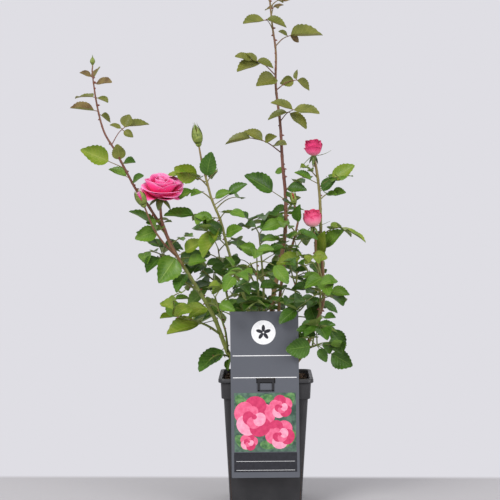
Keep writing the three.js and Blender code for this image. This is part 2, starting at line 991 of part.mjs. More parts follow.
function bloomNode(bloom) {
  const axis = vec(bloom.axis);
  const foot = vec(bloom.foot);
  const line = stalkLine(bloom, [bloom.foot]);
  const radius = tipRadius(bloom.on);
  const hip = 0.12 * bloom.width;
  const head = [ovoidSolid(hip * 2, hip * 2.2), ovoidSolid(bloom.width * 0.42, bloom.height * 0.9, 10)];
  for (const [count, reach, height, shift] of bloom.rings) {
    for (let k = 0; k < count; k++) {
      const turn = ((k * 360) / count + shift) * rad;
      const half = (bloom.width / 2) * reach;
      const lip = reach === 1 ? 0.1 * bloom.height : 0;
      head.push(petalSolid(turn, (235 / count) * rad, half, bloom.height * height, lip));
    }
  }
  head.push(...sepalSolids(bloom.sepal, bloom.spread, hip * 0.7, hip));
  const placed = head.map((solid) => stand(solid, foot, axis));
  const overlap = foot.clone().addScaledVector(axis.clone().normalize(), hip * 0.8);
  const lead = endDirection(lineOf(bloom.on));
  return fuse([limbSolid([...line, overlap], [radius, radius], limbSides, { lead }), ...placed]);
}

function budLine(bud) {
  return bud.from ? lineThrough(bud.stalk) : stalkLine(bud, bud.stalk);
}

function budNode(bud) {
  const line = budLine(bud);
  const axis = endDirection(line);
  const radius = bud.on ? tipRadius(bud.on) : 1.7;
  const sepals = sepalSolids(bud.sepal, bud.open, bud.width * 0.36, 0.2 * bud.height).slice(0, 3);
  const head = [ovoidSolid(bud.width, bud.height, 7), ...sepals];
  const placed = head.map((solid) => stand(solid, line.at(-1), axis));
  const top = line.at(-1).clone().addScaledVector(axis, bud.height * 0.2);
  const lead = bud.on && endDirection(lineOf(bud.on));
  const stalk = limbSolid([...line, top], [radius, radius * 0.8], limbSides, { lead });
  const trimmed = bud.from ? fuse([stalk.subtract(cutterOf(bud.from))]) : stalk;
  return fuse([trimmed, ...placed]);
}

// Own space: a point belongs to the mass whose stem or twig is nearest, clear of limbs, blooms, pot, card.

const keepOff = 2.5; // from the skin of a limb
const borderWidth = 1.5; // between the spaces of two masses
const crown = { left: -214, right: 142 }; // how far the bushy masses reach to the sides

function distanceToLine(point, line) {
  const spot = new THREE.Vector3();
  const segment = new THREE.Line3();
  let least = Infinity;
  for (let i = 1; i < line.length; i++) {
    segment.set(line[i - 1], line[i]).closestPointToPoint(point, true, spot);
    least = Math.min(least, spot.distanceTo(point));
  }
  return least;
}

const stemThick = 17;
const obstacles = [
  ...limbs.map((limb) => ({ line: limb.line, radius: limb.radii[0] })),
  { line: lineThrough(stem.points), radius: stemThick },
  ...blooms.map((bloom) => {
    const foot = vec(bloom.foot);
    const middle = foot.clone().addScaledVector(vec(bloom.axis).normalize(), bloom.height * 0.55);
    return { line: [foot, middle], radius: bloom.width / 2 + 1 };
  }),
  ...buds.map((bud) => {
    const line = budLine(bud);
    const top = line.at(-1).clone().addScaledVector(endDirection(line), bud.height);
    return { line: [...line, top], radius: bud.width / 2 + 2 };
  }),
];

function distanceToMass(point, mass) {
  return Math.min(...[mass.line, ...mass.twigLines].map((line) => distanceToLine(point, line)));
}

function nearPotOrCard(point) {
  const overPot = Math.max(Math.abs(point.x), Math.abs(point.y)) < pot.rim + 4 && point.z < pot.height + 6;
  const cardTop = card.bottom + card.height;
  const byCard = Math.abs(point.x) < card.width / 2 + 4 && point.z < cardTop + 4 && point.y < card.back + 4;
  return overPot || (byCard && (point.y > card.back - 7 || point.x < 24));
}

function isFree(point, mass, nearStem) {
  if (nearPotOrCard(point)) return false;
  if (mass.twigs && (point.x < crown.left || point.x > crown.right)) return false;
  const border = distanceToMass(point, mass) + (nearStem ? 0 : borderWidth);
  const isOwn = masses.every((other) => other === mass || distanceToMass(point, other) >= border);
  const gap = nearStem ? 1 : keepOff;
  return isOwn && obstacles.every((item) => distanceToLine(point, item.line) > item.radius + gap);
}

// Side twigs that leave a bushy stem by turns, less those that would come near a limb or another mass.
const golden = 137.5 * rad;
for (const mass of masses) mass.twigLines = [];
for (const mass of masses) {
  const dice = diceOf(mass.seed + 1);
  for (let k = 0; k < (mass.twigs ?? 0); k++) {
    const foot = pointAt(mass.line, lengthOf(mass.line) * (0.15 + (0.7 * k) / mass.twigs));
    const heading = (mass.turn - 60) * rad + golden * k + dice(-0.3, 0.3);
    const out = new THREE.Vector3(Math.cos(heading), Math.sin(heading), dice(0.4, 0.9)).normalize();
    const long = dice(38, 54);
    const middle = foot.clone().addScaledVector(out, long * 0.5);
    const end = foot.clone().addScaledVector(out, long).addScaledVector(up, 8);
    const twig = [foot, middle, end];
    if ([middle, end].every((point) => isFree(point, mass, false))) mass.twigLines.push(twig);
  }
}

function leafletProbes(leaflet) {
  const shares = [0.12, 0.32, 0.54, 0.76, 1];
  return shares.flatMap((share) =>
    [-1, -0.5, 0, 0.5, 1].map((side) => leafletPoint(leaflet, share, side * (1 - share ** 3), 0.04)),
  );
}

// Adds a leaf's stalk and leaflets to a mass, less those that would leave its space.
function growLeaf(mass, bodies, plan) {
  const stalkFree = [0.3, 0.65, 1].every((share) => isFree(plan.place(share), mass, share < 0.5));
  if (!stalkFree) return;
  const isKept = (leaflet) => leafletProbes(leaflet).every((probe) => isFree(probe, mass, false));
  const kept = plan.leaflets.filter(isKept);
  if (kept.length) bodies.push(leafSolid(plan, kept));
}

function growNodes(mass, bodies, dice) {
  for (const [height, turn, size] of mass.nodes) {
    const foot = pointAt(mass.line, distanceAtHeight(mass.line, height));
    const rise = size < 0.6 ? 62 : 48;
    growLeaf(mass, bodies, leafPlan(foot, turn * rad, rise * rad, size, dice, size < 0.6 ? 1 : 2));
  }
}

// Leaves by turns up a bushy stem, and three on each of its side twigs.
function growBushy(mass, bodies, dice) {
  const total = lengthOf(mass.line);
  let turn = mass.turn * rad;
  for (let way = mass.step; way < total - 2; way += mass.step) {
    const foot = pointAt(mass.line, way);
    const rise = THREE.MathUtils.lerp(8, 50, way / total) * rad;
    growLeaf(mass, bodies, leafPlan(foot, turn, rise, mass.size, dice, 2));
    turn += golden;
  }
  const tip = pointAt(mass.line, total * 0.99);
  growLeaf(mass, bodies, leafPlan(tip, turn, 60 * rad, mass.size * 0.8, dice, 2));
  for (const twig of mass.twigLines) {
    const away = twig[2].clone().sub(twig[0]);
    const heading = Math.atan2(away.y, away.x);
    bodies.push(limbSolid(twig, [1.6, 1.1], 3));
    [0.42, 0.72, 0.98].forEach((share, k) => {
      const spot = pointAt(twig, share * lengthOf(twig));
      growLeaf(mass, bodies, leafPlan(spot, heading + (k - 1) * 1.9, 30 * rad, mass.size * 0.88, dice, 2));
    });
  }
}

function massNode(mass) {
  const lead = endDirection(limbNamed.get(mass.limb).line);
  const bodies = [limbSolid(mass.line, mass.radii, limbSides, { lead })];
  const dice = diceOf(mass.seed);
  if (mass.nodes) growNodes(mass, bodies, dice);
  else growBushy(mass, bodies, dice);
  if (tipBud.on === mass.name) {
    const tip = mass.line.at(-1);
    bodies.push(stand(ovoidSolid(tipBud.width, tipBud.height, 6), tip.clone().addScaledVector(up, -2), up));
  }
  return fuse(bodies);
}

// The plant

const rose = new THREE.Group();
rose.name = "potted_rose";

addNode(rose, "pot", potSolid(), materials.pot);
addNode(rose, "soil", soilSolid(), materials.soil);
addNode(rose, "label_card", cardSolid(), materials.card);
addNode(rose, "label_clip", clipSolid(), materials.clip);
addNode(rose, "stem", stemSolid(), materials.bark);
for (const limb of limbs) addNode(rose, limb.name, limbNode(limb), materials.bark);
for (const mass of masses) addNode(rose, mass.name, massNode(mass), materials.leaf);
for (const bloom of blooms) addNode(rose, bloom.name, bloomNode(bloom), materials.petal);
for (const bud of buds) addNode(rose, bud.name, budNode(bud), materials.bud);

export default rose;
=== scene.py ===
import math

import bmesh
import bpy
import numpy as np
from mathutils import Matrix, Vector, noise


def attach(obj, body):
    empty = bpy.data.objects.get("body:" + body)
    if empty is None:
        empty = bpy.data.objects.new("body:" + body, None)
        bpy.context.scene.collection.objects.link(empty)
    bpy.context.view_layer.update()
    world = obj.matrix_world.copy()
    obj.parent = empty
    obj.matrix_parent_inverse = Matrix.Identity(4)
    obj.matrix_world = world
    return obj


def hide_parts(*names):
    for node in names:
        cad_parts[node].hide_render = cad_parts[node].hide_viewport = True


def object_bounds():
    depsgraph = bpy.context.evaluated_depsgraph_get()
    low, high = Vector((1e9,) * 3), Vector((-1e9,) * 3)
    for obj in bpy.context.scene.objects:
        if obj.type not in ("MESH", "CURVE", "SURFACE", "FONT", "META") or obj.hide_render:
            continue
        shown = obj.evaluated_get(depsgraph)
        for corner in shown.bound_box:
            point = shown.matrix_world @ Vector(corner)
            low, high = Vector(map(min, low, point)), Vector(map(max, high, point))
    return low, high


# A rose bush in a square nursery pot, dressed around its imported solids. Metres, +Z up, card towards -Y.

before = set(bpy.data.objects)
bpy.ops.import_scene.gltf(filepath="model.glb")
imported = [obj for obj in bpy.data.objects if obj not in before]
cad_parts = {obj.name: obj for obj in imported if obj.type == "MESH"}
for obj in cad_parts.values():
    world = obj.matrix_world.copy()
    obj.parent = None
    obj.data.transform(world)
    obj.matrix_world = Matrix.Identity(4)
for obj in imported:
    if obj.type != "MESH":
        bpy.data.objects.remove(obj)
cadBox = [list(corner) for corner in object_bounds()]
mm = 0.001
upward = Vector((0, 0, 1))
goldenTurn = math.radians(137.5)

# Camera: the photograph's, 2.5 m away and 0.49 m up, looking a little down and to the left

camera = {"place": (0.0, -2.5, 0.491), "lens": 111.6, "sensor": 36, "turn": 0.588, "pitch": 1.958}
cameraData = bpy.data.cameras.new("camera")
cameraData.lens = camera["lens"]
cameraData.sensor_width = camera["sensor"]
cameraObject = bpy.data.objects.new("camera", cameraData)
bpy.context.scene.collection.objects.link(cameraObject)
cameraObject.location = camera["place"]
cameraObject.rotation_euler = (math.radians(90 - camera["pitch"]), 0, math.radians(camera["turn"]))
bpy.context.scene.camera = cameraObject
bpy.context.scene.view_settings.view_transform = "Standard"

# Studio


def linearColor(code):
    parts = [int(code[i : i + 2], 16) / 255 for i in (1, 3, 5)]
    return tuple(c / 12.92 if c <= 0.04045 else ((c + 0.055) / 1.055) ** 2.4 for c in parts) + (1.0,)


def addNode(tree, kind, links=(), output=0, feeds=None, stops=(), **settings):
    # links: the inputs in their order or by name, each a socket, a value or an sRGB code;
    # feeds: the input of the tree's shader that the output goes to; stops: those of a colour ramp
    node = tree.nodes.new("ShaderNode" + kind)
    for name, value in settings.items():
        setattr(node, name, value)
    for name, value in links.items() if isinstance(links, dict) else enumerate(links):
        if isinstance(value, bpy.types.NodeSocket):
            tree.links.new(value, node.inputs[name])
        else:
            node.inputs[name].default_value = linearColor(value) if isinstance(value, str) else value
    for _ in stops[2:]:
        node.color_ramp.elements.new(1.0)
    for k, (place, code) in enumerate(stops):
        node.color_ramp.elements[k].position = place
        node.color_ramp.elements[k].color = linearColor(code)
    if feeds:
        tree.links.new(node.outputs[output], tree.nodes["Principled BSDF"].inputs[feeds])
    return node.outputs[output]


def newMaterial(name, **sockets):
    material = bpy.data.materials.new(name)
    material.use_nodes = True
    tree = material.node_tree
    shader = tree.nodes["Principled BSDF"]
    for socket, value in sockets.items():
        shader.inputs[socket].default_value = value
    return material, tree, shader


studio = {
    "worldColor": "#dfdee4",
    "worldStrength": 1.0,
    "floorColor": "#b4b2b3",
    "floorHalf": 30,
    "floorEnd": (0.19, 0.215),  # the floor fades to the backdrop between these distances behind the pot
    "floorSide": (0.45, 1.3),  # and between these distances from it on all sides
}
world = bpy.data.worlds.new("studio")
bpy.context.scene.world = world
world.use_nodes = True
background = world.node_tree.nodes["Background"]
background.inputs["Color"].default_value = linearColor(studio["worldColor"])
background.inputs["Strength"].default_value = studio["worldStrength"]

lamps = {
    "key_lamp": {"place": (-1.2, -1.8, 2.2), "target": (0, 0, 0.4), "size": 1.2, "power": 50},
    "fill_lamp": {"place": (1.8, -1.6, 1.2), "target": (0, 0, 0.3), "size": 1.4, "power": 22},
}
for name, lamp in lamps.items():
    lampData = bpy.data.lights.new(name, "AREA")
    lampData.shape = "DISK"
    lampData.size = lamp["size"]
    lampData.energy = lamp["power"]
    lampObject = bpy.data.objects.new(name, lampData)
    bpy.context.scene.collection.objects.link(lampObject)
    lampObject.location = lamp["place"]
    aim = Vector(lamp["target"]) - Vector(lamp["place"])
    lampObject.rotation_euler = aim.to_track_quat("-Z", "Y").to_euler()


def newObject(name, mesh, materials=()):
    piece = bpy.data.objects.new(name, mesh)
    bpy.context.scene.collection.objects.link(piece)
    for material in materials:
        mesh.materials.append(material)
    return piece


def finishPiece(piece, replaced=(), smooth=True):
    for polygon in piece.data.polygons:
        polygon.use_smooth = smooth
    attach(piece, "root")
    if replaced:
        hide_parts(*replaced)
    return piece


def meshFrom(bm, name):
    mesh = bpy.data.meshes.new(name)
    bm.to_mesh(mesh)
    bm.free()
    return mesh


# Painted studio floor: matt, with no clear reflection, and lost in the bright backdrop further out
floorMaterial, tree, shader = newMaterial("matt_studio_floor", Roughness=0.8)
shader.inputs["Base Color"].default_value = linearColor(studio["floorColor"])
coords = addNode(tree, "TexCoord", output="Object")
depth = addNode(tree, "SeparateXYZ", (coords,), "Y")
away = addNode(tree, "VectorMath", (coords,), "Value", operation="LENGTH")
isBehind = addNode(tree, "MapRange", (depth, *studio["floorEnd"]))
isWide = addNode(tree, "MapRange", (away, *studio["floorSide"]), interpolation_type="SMOOTHSTEP")
isFar = addNode(tree, "Math", (isBehind, isWide), operation="MAXIMUM")
backdrop = addNode(tree, "Emission", (studio["worldColor"], studio["worldStrength"]))
mixed = addNode(tree, "MixShader", (isFar, shader.outputs["BSDF"], backdrop))
tree.links.new(mixed, tree.nodes["Material Output"].inputs["Surface"])
bm = bmesh.new()
bmesh.ops.create_grid(bm, x_segments=1, y_segments=1, size=studio["floorHalf"])
newObject("floor", meshFrom(bm, "floor"), [floorMaterial])
print("studio and camera set")

# Finishes


def mottledMaterial(name, colors, patch, spread=(), detail=3.0, relief=(), dustRoughness=(), **sockets):
    # two close colours in patches of a real size and a finer relief of grain size and depth, all in mm;
    # spread is the share of the pattern over which they blend, dustRoughness that and the roughness
    material, tree, _ = newMaterial(name, **sockets)
    coords = addNode(tree, "TexCoord", output="Object")
    patches = addNode(tree, "TexNoise", {"Vector": coords, "Scale": 1 / (patch * mm), "Detail": detail})
    share = addNode(tree, "MapRange", (patches, *spread)) if spread else patches
    addNode(tree, "Mix", {"Factor": share, 6: colors[0], 7: colors[1]}, 2, "Base Color", data_type="RGBA")
    if dustRoughness:
        addNode(tree, "MapRange", (patches, *dustRoughness), feeds="Roughness")
    if relief:
        grain, depth = relief
        grit = addNode(tree, "TexNoise", {"Vector": coords, "Scale": 1 / (grain * mm), "Detail": 3.0})
        addNode(tree, "Bump", {"Height": grit, "Distance": depth * mm}, feeds="Normal")
    return material


# Recycled polypropylene, injection moulded: satin black with a fine grain and a little dust
potPlastic = mottledMaterial(
    "moulded_black_polypropylene", ("#2a2a2c", "#343335"), 18, (0.4, 0.8), detail=6.0, relief=(1.2, 0.06),
    dustRoughness=(0.3, 0.8, 0.38, 0.6), Roughness=0.42, IOR=1.49,
)

# Bark and peat compost: dark crumbs with rusty fibres
compost, tree, _ = newMaterial("peat_compost", Roughness=0.95)
coords = addNode(tree, "TexCoord", output="Object")
grains = addNode(tree, "TexNoise", {"Vector": coords, "Scale": 1 / (4 * mm), "Detail": 8.0})
crumbColors = [(0.3, "#241a14"), (0.5, "#433026"), (0.68, "#644a35"), (0.8, "#86704f")]
addNode(tree, "ValToRGB", (grains,), feeds="Base Color", stops=crumbColors)
addNode(tree, "Bump", {"Height": grains, "Distance": 1 * mm}, feeds="Normal")

# Composted bark chips: dry, brown and fibrous
barkChips = mottledMaterial(
    "composted_bark_chips", ("#3a2719", "#7d6144"), 3, detail=5.0, relief=(1.2, 0.4), Roughness=0.85
)

# Printed polypropylene sheet: even slate grey ink under a satin varnish
varnish = {"Roughness": 0.42, "IOR": 1.49}
cardInk = mottledMaterial("printed_slate_card", ("#54575e", "#5c5f66"), 60, relief=(0.9, 0.01), **varnish)

# Printed patches: dots of two close inks under the same varnish
inks = {
    ink: mottledMaterial(name, (first, second), size, (0.35, 0.65), **varnish)
    for ink, name, first, second, size in (
        ("white", "printed_white_ink", "#f0f0f0", "#fafafa", 4),
        ("dark", "printed_dark_slate_ink", "#1d1e24", "#26272e", 4),
        ("leafGround", "printed_green_ground", "#2f4a3e", "#5c7a66", 9),
        ("leafShape", "printed_leaf_green", "#3d6b3c", "#6f9a5c", 6),
        ("deepPink", "printed_deep_pink", "#c62c5e", "#d83c6c", 6),
        ("pink", "printed_pink", "#e4557f", "#ee7397", 6),
        ("palePink", "printed_pale_pink", "#f08fae", "#f6aec4", 6),
    )
}
inkNames = list(inks)

# Polypropylene clip, moulded: smoother and blacker than the pot
clipPlastic = mottledMaterial(
    "moulded_black_clip", ("#17171a", "#232327"), 10, relief=(1, 0.03), Roughness=0.35, IOR=1.49
)


def barkMaterial(name, low, high, stops):
    # living cane: a waxy skin whose colour changes up the cane, with a red flush in streaks and pale pores
    material, tree, _ = newMaterial(name, Roughness=0.45, IOR=1.45)
    coords = addNode(tree, "TexCoord", output="Object")
    height = addNode(tree, "SeparateXYZ", (coords,), "Z")
    streaks = addNode(tree, "Mapping", {"Vector": coords, "Scale": (1, 1, 0.2)})
    flush = addNode(tree, "TexNoise", {"Vector": streaks, "Scale": 1 / (6 * mm), "Detail": 3.0})
    wobble = addNode(tree, "MapRange", (flush, 0.3, 0.7, -0.12, 0.12))
    rise = addNode(tree, "MapRange", (height, low, high))
    place = addNode(tree, "Math", (rise, wobble), operation="ADD")
    base = addNode(tree, "ValToRGB", (place,), stops=stops)
    dots = addNode(tree, "TexNoise", {"Vector": coords, "Scale": 1 / (1.1 * mm), "Detail": 3.0})
    pores = addNode(tree, "MapRange", (dots, 0.66, 0.74, 0.0, 0.55))
    addNode(tree, "Mix", {"Factor": pores, 6: base, 7: "#a39a72"}, 2, "Base Color", data_type="RGBA")
    fibres = addNode(tree, "TexNoise", {"Vector": streaks, "Scale": 1 / (1.6 * mm), "Detail": 5.0})
    addNode(tree, "Bump", {"Height": fibres, "Distance": 0.25 * mm}, feeds="Normal")
    return material


barks = {
    "green": barkMaterial(
        "green_cane_skin", 0.2, 0.45,
        [(0.0, "#6f6236"), (0.12, "#8d9448"), (0.6, "#76823f"), (0.85, "#7c5a3a"), (1.0, "#7d4a38")],
    ),
    "red": barkMaterial(
        "red_cane_skin", 0.2, 0.82,
        [(0.0, "#7f6f3c"), (0.3, "#7a5a3c"), (0.5, "#6e3f36"), (0.8, "#74503a"), (1.0, "#76683a")],
    ),
    "twig": barkMaterial("young_twig_skin", 0.2, 0.7, [(0.0, "#6e8038"), (0.5, "#7c7c40"), (1.0, "#7c4c3c")]),
}
barkNames = list(barks)


def leafMaterial(name, dark, light, vein, roughness, gloss=0.38):
    # a leaf's skin: waxy, a little blotched, with sunken paler veins; an underside is paler and duller
    material, tree, shader = newMaterial(name, Roughness=roughness, IOR=1.42)
    shader.inputs["Specular IOR Level"].default_value = gloss
    coords = addNode(tree, "TexCoord", output="Object")
    leafMap = addNode(tree, "UVMap", uv_map="leafMap")
    across = addNode(tree, "SeparateXYZ", (leafMap,), "X")
    ahead = addNode(tree, "SeparateXYZ", (leafMap,), "Y")
    shifted = addNode(tree, "Math", (across, 0.5), operation="SUBTRACT")
    aside = addNode(tree, "Math", (shifted,), operation="ABSOLUTE")
    slope = addNode(tree, "Math", (aside, 0.5), operation="MULTIPLY")
    slanted = addNode(tree, "Math", (ahead, slope), operation="SUBTRACT")
    turned = addNode(tree, "Math", (slanted, 50.0), operation="MULTIPLY")
    waves = addNode(tree, "Math", (turned,), operation="SINE")
    ribs = addNode(tree, "MapRange", (waves, 0.75, 1.0, 0.0, 0.45))
    midrib = addNode(tree, "MapRange", (aside, 0.03, 0.012))
    veins = addNode(tree, "Math", (midrib, ribs), operation="MAXIMUM")
    patches = addNode(tree, "TexNoise", {"Vector": coords, "Scale": 1 / (16 * mm), "Detail": 3.0})
    blotch = addNode(tree, "MapRange", (patches, 0.35, 0.65))
    base = addNode(tree, "Mix", {"Factor": blotch, 6: dark, 7: light}, 2, data_type="RGBA")
    paleness = addNode(tree, "Math", (veins, 0.6), operation="MULTIPLY")
    addNode(tree, "Mix", {"Factor": paleness, 6: base, 7: vein}, 2, "Base Color", data_type="RGBA")
    pimples = addNode(tree, "TexNoise", {"Vector": coords, "Scale": 1 / (3 * mm), "Detail": 3.0})
    height = addNode(tree, "Math", (pimples, veins), operation="SUBTRACT")
    addNode(tree, "Bump", {"Height": height, "Distance": 0.5 * mm, "Strength": 0.7}, feeds="Normal")
    return material


leafTones = {
    "deep": leafMaterial("deep_green_leaf", "#2f5010", "#456a1e", "#6c8a3a", 0.34),
    "green": leafMaterial("green_leaf", "#4b7119", "#64862a", "#89a04a", 0.36),
    "bright": leafMaterial("bright_green_leaf", "#647f1c", "#808f2e", "#9ca650", 0.38),
    "young": leafMaterial("young_olive_leaf", "#5a6122", "#727531", "#908c4c", 0.4),
    "bronze": leafMaterial("young_bronze_leaf", "#5f4a2c", "#7a6a3c", "#94804f", 0.42),
    "under": leafMaterial("leaf_underside", "#73883f", "#86984f", "#9cab66", 0.6, 0.25),
    "youngUnder": leafMaterial("young_leaf_underside", "#7f833c", "#918c48", "#a3985c", 0.6, 0.25),
}
toneNames = list(leafTones)
youngTones = ("bronze", "young")


def petalMaterial(name, heart, middle, light, rim):
    # velvety petal tissue with faint streaks along it; its colour runs from foot to rim
    # deep pink petals: deep at the foot, which is painted shade between the petals, and paler at the rim,
    # partly their own paler edge and partly painted highlight
    material, tree, shader = newMaterial(name, Roughness=0.55, IOR=1.4)
    shader.inputs["Sheen Weight"].default_value = 0.06
    leafMap = addNode(tree, "UVMap", uv_map="leafMap")
    ahead = addNode(tree, "SeparateXYZ", (leafMap,), "Y")
    # 14 streaks across a petal, coarser than real ones so that they show
    streaks = addNode(tree, "Mapping", {"Vector": leafMap, "Scale": (14, 1.2, 1)})
    veins = addNode(tree, "TexNoise", {"Vector": streaks, "Scale": 1.0, "Detail": 3.0})
    wobble = addNode(tree, "MapRange", (veins, 0.3, 0.7, -0.05, 0.05))
    share = addNode(tree, "Math", (ahead, wobble), operation="ADD")
    stops = [(0.0, heart), (0.45, middle), (0.85, light), (1.0, rim)]
    addNode(tree, "ValToRGB", (share,), feeds="Base Color", stops=stops)
    crinkles = addNode(tree, "TexNoise", {"Vector": streaks, "Scale": 1 / 0.6, "Detail": 3.0})
    addNode(tree, "Bump", {"Height": crinkles, "Distance": 0.3 * mm, "Strength": 0.4}, feeds="Normal")
    return material


petalTones = {
    # painted shade at these petals' foot, and partly painted highlight at their pale rim
    "large": petalMaterial("deep_pink_petal_painted_shade_and_highlight", "#c21858", "#f2267a", "#f65aa6", "#f8a0cc"),
    "small": petalMaterial("rose_pink_petal", "#f0a8a8", "#ec6c94", "#e64079", "#b92058"),
    "pale": petalMaterial("pale_pink_petal", "#f8d0b8", "#f4a0ae", "#f06c94", "#d23064"),
    "bud": petalMaterial("red_bud_petal", "#a8203c", "#cf3a40", "#d8503f", "#e0604c"),
}

# Sepal and hip skin: matt green, a little mottled
openSepal, budSepal = [
    mottledMaterial(name, colors, 4, (0.3, 0.7), relief=(1.2, 0.2), Roughness=0.5, IOR=1.42)
    for name, colors in (
        ("dark_green_sepal_skin", ("#3c4f1f", "#667832")),
        ("light_green_bud_skin", ("#566a28", "#8a9646")),
    )
]

# Prickle horn: smooth, red-brown
prickleHorn = mottledMaterial("red_prickle_horn", ("#5d2a22", "#8a4434"), 3, Roughness=0.4, IOR=1.5)
print("finishes made")

# Pot

pot = {
    "height": 0.205,
    "rim": 0.075,
    "collar": 0.0714,
    "body": 0.0666,
    "base": 0.057,
    "corner": 0.012,
    "wall": 0.002,
    "flange": 0.007,
    "band": 0.026,
    "sharpFrom": 35,
}
flangeFoot = pot["height"] - pot["flange"]
collarFoot = flangeFoot - pot["band"]


def riseTo(bm, face, z, half):
    # extrudes a square face to a new height and half width; only the lowest face stays, as the underside
    before = max(abs(v.co.x) for v in face.verts)
    isRaised = len(bm.faces) > 1
    made = bmesh.ops.extrude_face_region(bm, geom=[face])
    if isRaised and face.is_valid:
        bmesh.ops.delete(bm, geom=[face], context="FACES_ONLY")
    top = [g for g in made["geom"] if isinstance(g, bmesh.types.BMFace)][0]
    for vert in top.verts:
        for axis in (0, 1):
            vert.co[axis] += math.copysign(1, vert.co[axis]) * (half - before)
        vert.co.z = z
    return top


def makePot():
    # a square with rounded corners, drawn up step by step
    height, rim, collar, body, base, corner, wall = [
        pot[part] for part in ("height", "rim", "collar", "body", "base", "corner", "wall")
    ]
    rounding = 0.002
    bm = bmesh.new()
    square = bmesh.ops.create_grid(bm, x_segments=1, y_segments=1, size=base - rounding)["verts"]
    bmesh.ops.bevel(
        bm, geom=square, offset=corner - rounding, affect="VERTICES", segments=6, profile=0.5, material=-1
    )
    face = max(bm.faces, key=lambda face: face.calc_area())
    # the wall's height and half width: up the outside, over the rim and down the inside
    profile = [
        (0.0006, base - 0.0006), (0.003, base), (0.06, base + 0.0031), (0.12, base + 0.0066),
        (collarFoot - 0.001, body - 0.0001), (collarFoot, body + 0.0006),
        (collarFoot + 0.001, collar - 0.0016), (collarFoot + 0.0026, collar - 0.0012),
        (flangeFoot - 0.001, collar - 0.0002), (flangeFoot, collar + 0.001),
        (flangeFoot + 0.0005, rim - 0.001), (flangeFoot + 0.0016, rim),
        (height - 0.0014, rim), (height - 0.0004, rim - 0.0005), (height, rim - 0.0015),
        (height, collar - wall + 0.001), (height - 0.001, collar - wall),
        (collarFoot + 0.003, collar - wall - 0.0015), (collarFoot, body - wall), (0.003, base - wall),
    ]
    for z, half in profile:
        face = riseTo(bm, face, z, half)
    bmesh.ops.recalc_face_normals(bm, faces=bm.faces)
    piece = finishPiece(newObject("pot_shell", meshFrom(bm, "pot_shell"), [potPlastic]), ["pot"])
    piece.data.set_sharp_from_angle(angle=math.radians(pot["sharpFrom"]))


makePot()

# Compost: a crumbly bed below the rim, with crumbs and bark chips strewn on it

soil = {
    "top": 0.199,
    "half": 0.0672,
    "rows": 48,
    "sag": 0.002,
    "bumps": 0.003,
    "sides": ((0.176, 0.0664), (0.170, 0.0632), (0.004, 0.0545)),  # height and half width, downwards
    "seed": 5,
    "strewnHalf": 0.063,
}
strewn = [
    # crumbs, then chips: how many, size, tilt, and length, width and thickness as shares of the size
    {"count": 520, "size": (0.0009, 0.0028), "tilt": (0, 3.1), "shape": ((0.8, 1.6), (0.7, 1.1), (0.5, 0.9))},
    {"count": 90, "size": (0.0022, 0.0042), "tilt": (-0.6, 0.6), "shape": ((1, 1.6), (0.6, 1), (0.25, 0.4))},
]


def makeDice(seed):
    # the same seeded dice as the solids' source
    state = seed

    def throw(low=0.0, high=1.0):
        nonlocal state
        state = (state * 1664525 + 1013904223) % 4294967296
        return low + (high - low) * state / 4294967296

    return throw


def makeSoil():
    # a bumpy bed with sides and an underside, and the crumbs and chips that lie on it
    bm = bmesh.new()
    half = soil["half"]
    bmesh.ops.create_grid(bm, x_segments=soil["rows"], y_segments=soil["rows"], size=half)
    edges = [edge for edge in bm.edges if edge.is_boundary]
    dice = makeDice(soil["seed"])
    for vert in bm.verts:
        edge = max(abs(vert.co.x), abs(vert.co.y)) / half
        bumps = soil["bumps"] * noise.fractal(vert.co * 90, 1.0, 2.0, 4)
        vert.co.z = soil["top"] - soil["sag"] * edge**3 + bumps - 0.0006
    before = half
    for z, wide in soil["sides"]:
        made = bmesh.ops.extrude_edge_only(bm, edges=edges)
        edges = [g for g in made["geom"] if isinstance(g, bmesh.types.BMEdge) and len(g.link_faces) == 1]
        ring = {vert for edge in edges for vert in edge.verts}
        for vert in ring:
            vert.co = Vector((vert.co.x * wide / before, vert.co.y * wide / before, z))
        before = wide
    bmesh.ops.contextual_create(bm, geom=edges)
    bmesh.ops.recalc_face_normals(bm, faces=bm.faces)
    for kind, crumb in enumerate(strewn):
        for _ in range(crumb["count"]):
            x, y = [dice(-soil["strewnHalf"], soil["strewnHalf"]) for _ in range(2)]
            size = dice(*crumb["size"])
            z = soil["top"] - soil["sag"] * (max(abs(x), abs(y)) / half) ** 3 + size * 0.4
            turn = Matrix.Rotation(dice(0, 6.28), 4, "Z") @ Matrix.Rotation(dice(*crumb["tilt"]), 4, "X")
            shape = [dice(*share) for share in crumb["shape"]]
            place = Matrix.Translation((x, y, z)) @ turn @ Matrix.Diagonal((*shape, 1))
            made = bmesh.ops.create_icosphere(bm, subdivisions=1, radius=size, matrix=place)["verts"]
            for vert in made:
                vert.co += Vector([dice(-0.12, 0.12) for _ in range(3)]) * size
            for face in {face for vert in made for face in vert.link_faces}:
                face.material_index = kind
    piece = newObject("compost_bed", meshFrom(bm, "compost_bed"), [compost, barkChips])
    finishPiece(piece, ["soil"], smooth=False)


makeSoil()
print("pot and compost made")

# Card and clip

card = {
    "width": 0.107,
    "height": 0.262,
    "bottom": 0.050,
    "back": -0.0762,
    "thickness": 0.001,
    "lean": math.radians(0.6),
    "corner": 0.002,
    "slot": (0.149, 0.158),  # lower and upper edge, from the card's foot
    "slotHalf": 0.015,
    "inkLayer": 0.00008,
}
cardPlace = Matrix.Translation((0, card["back"], card["bottom"])) @ Matrix.Rotation(-card["lean"], 4, "Y")
faceOn = Matrix.Rotation(math.radians(90), 4, "X")


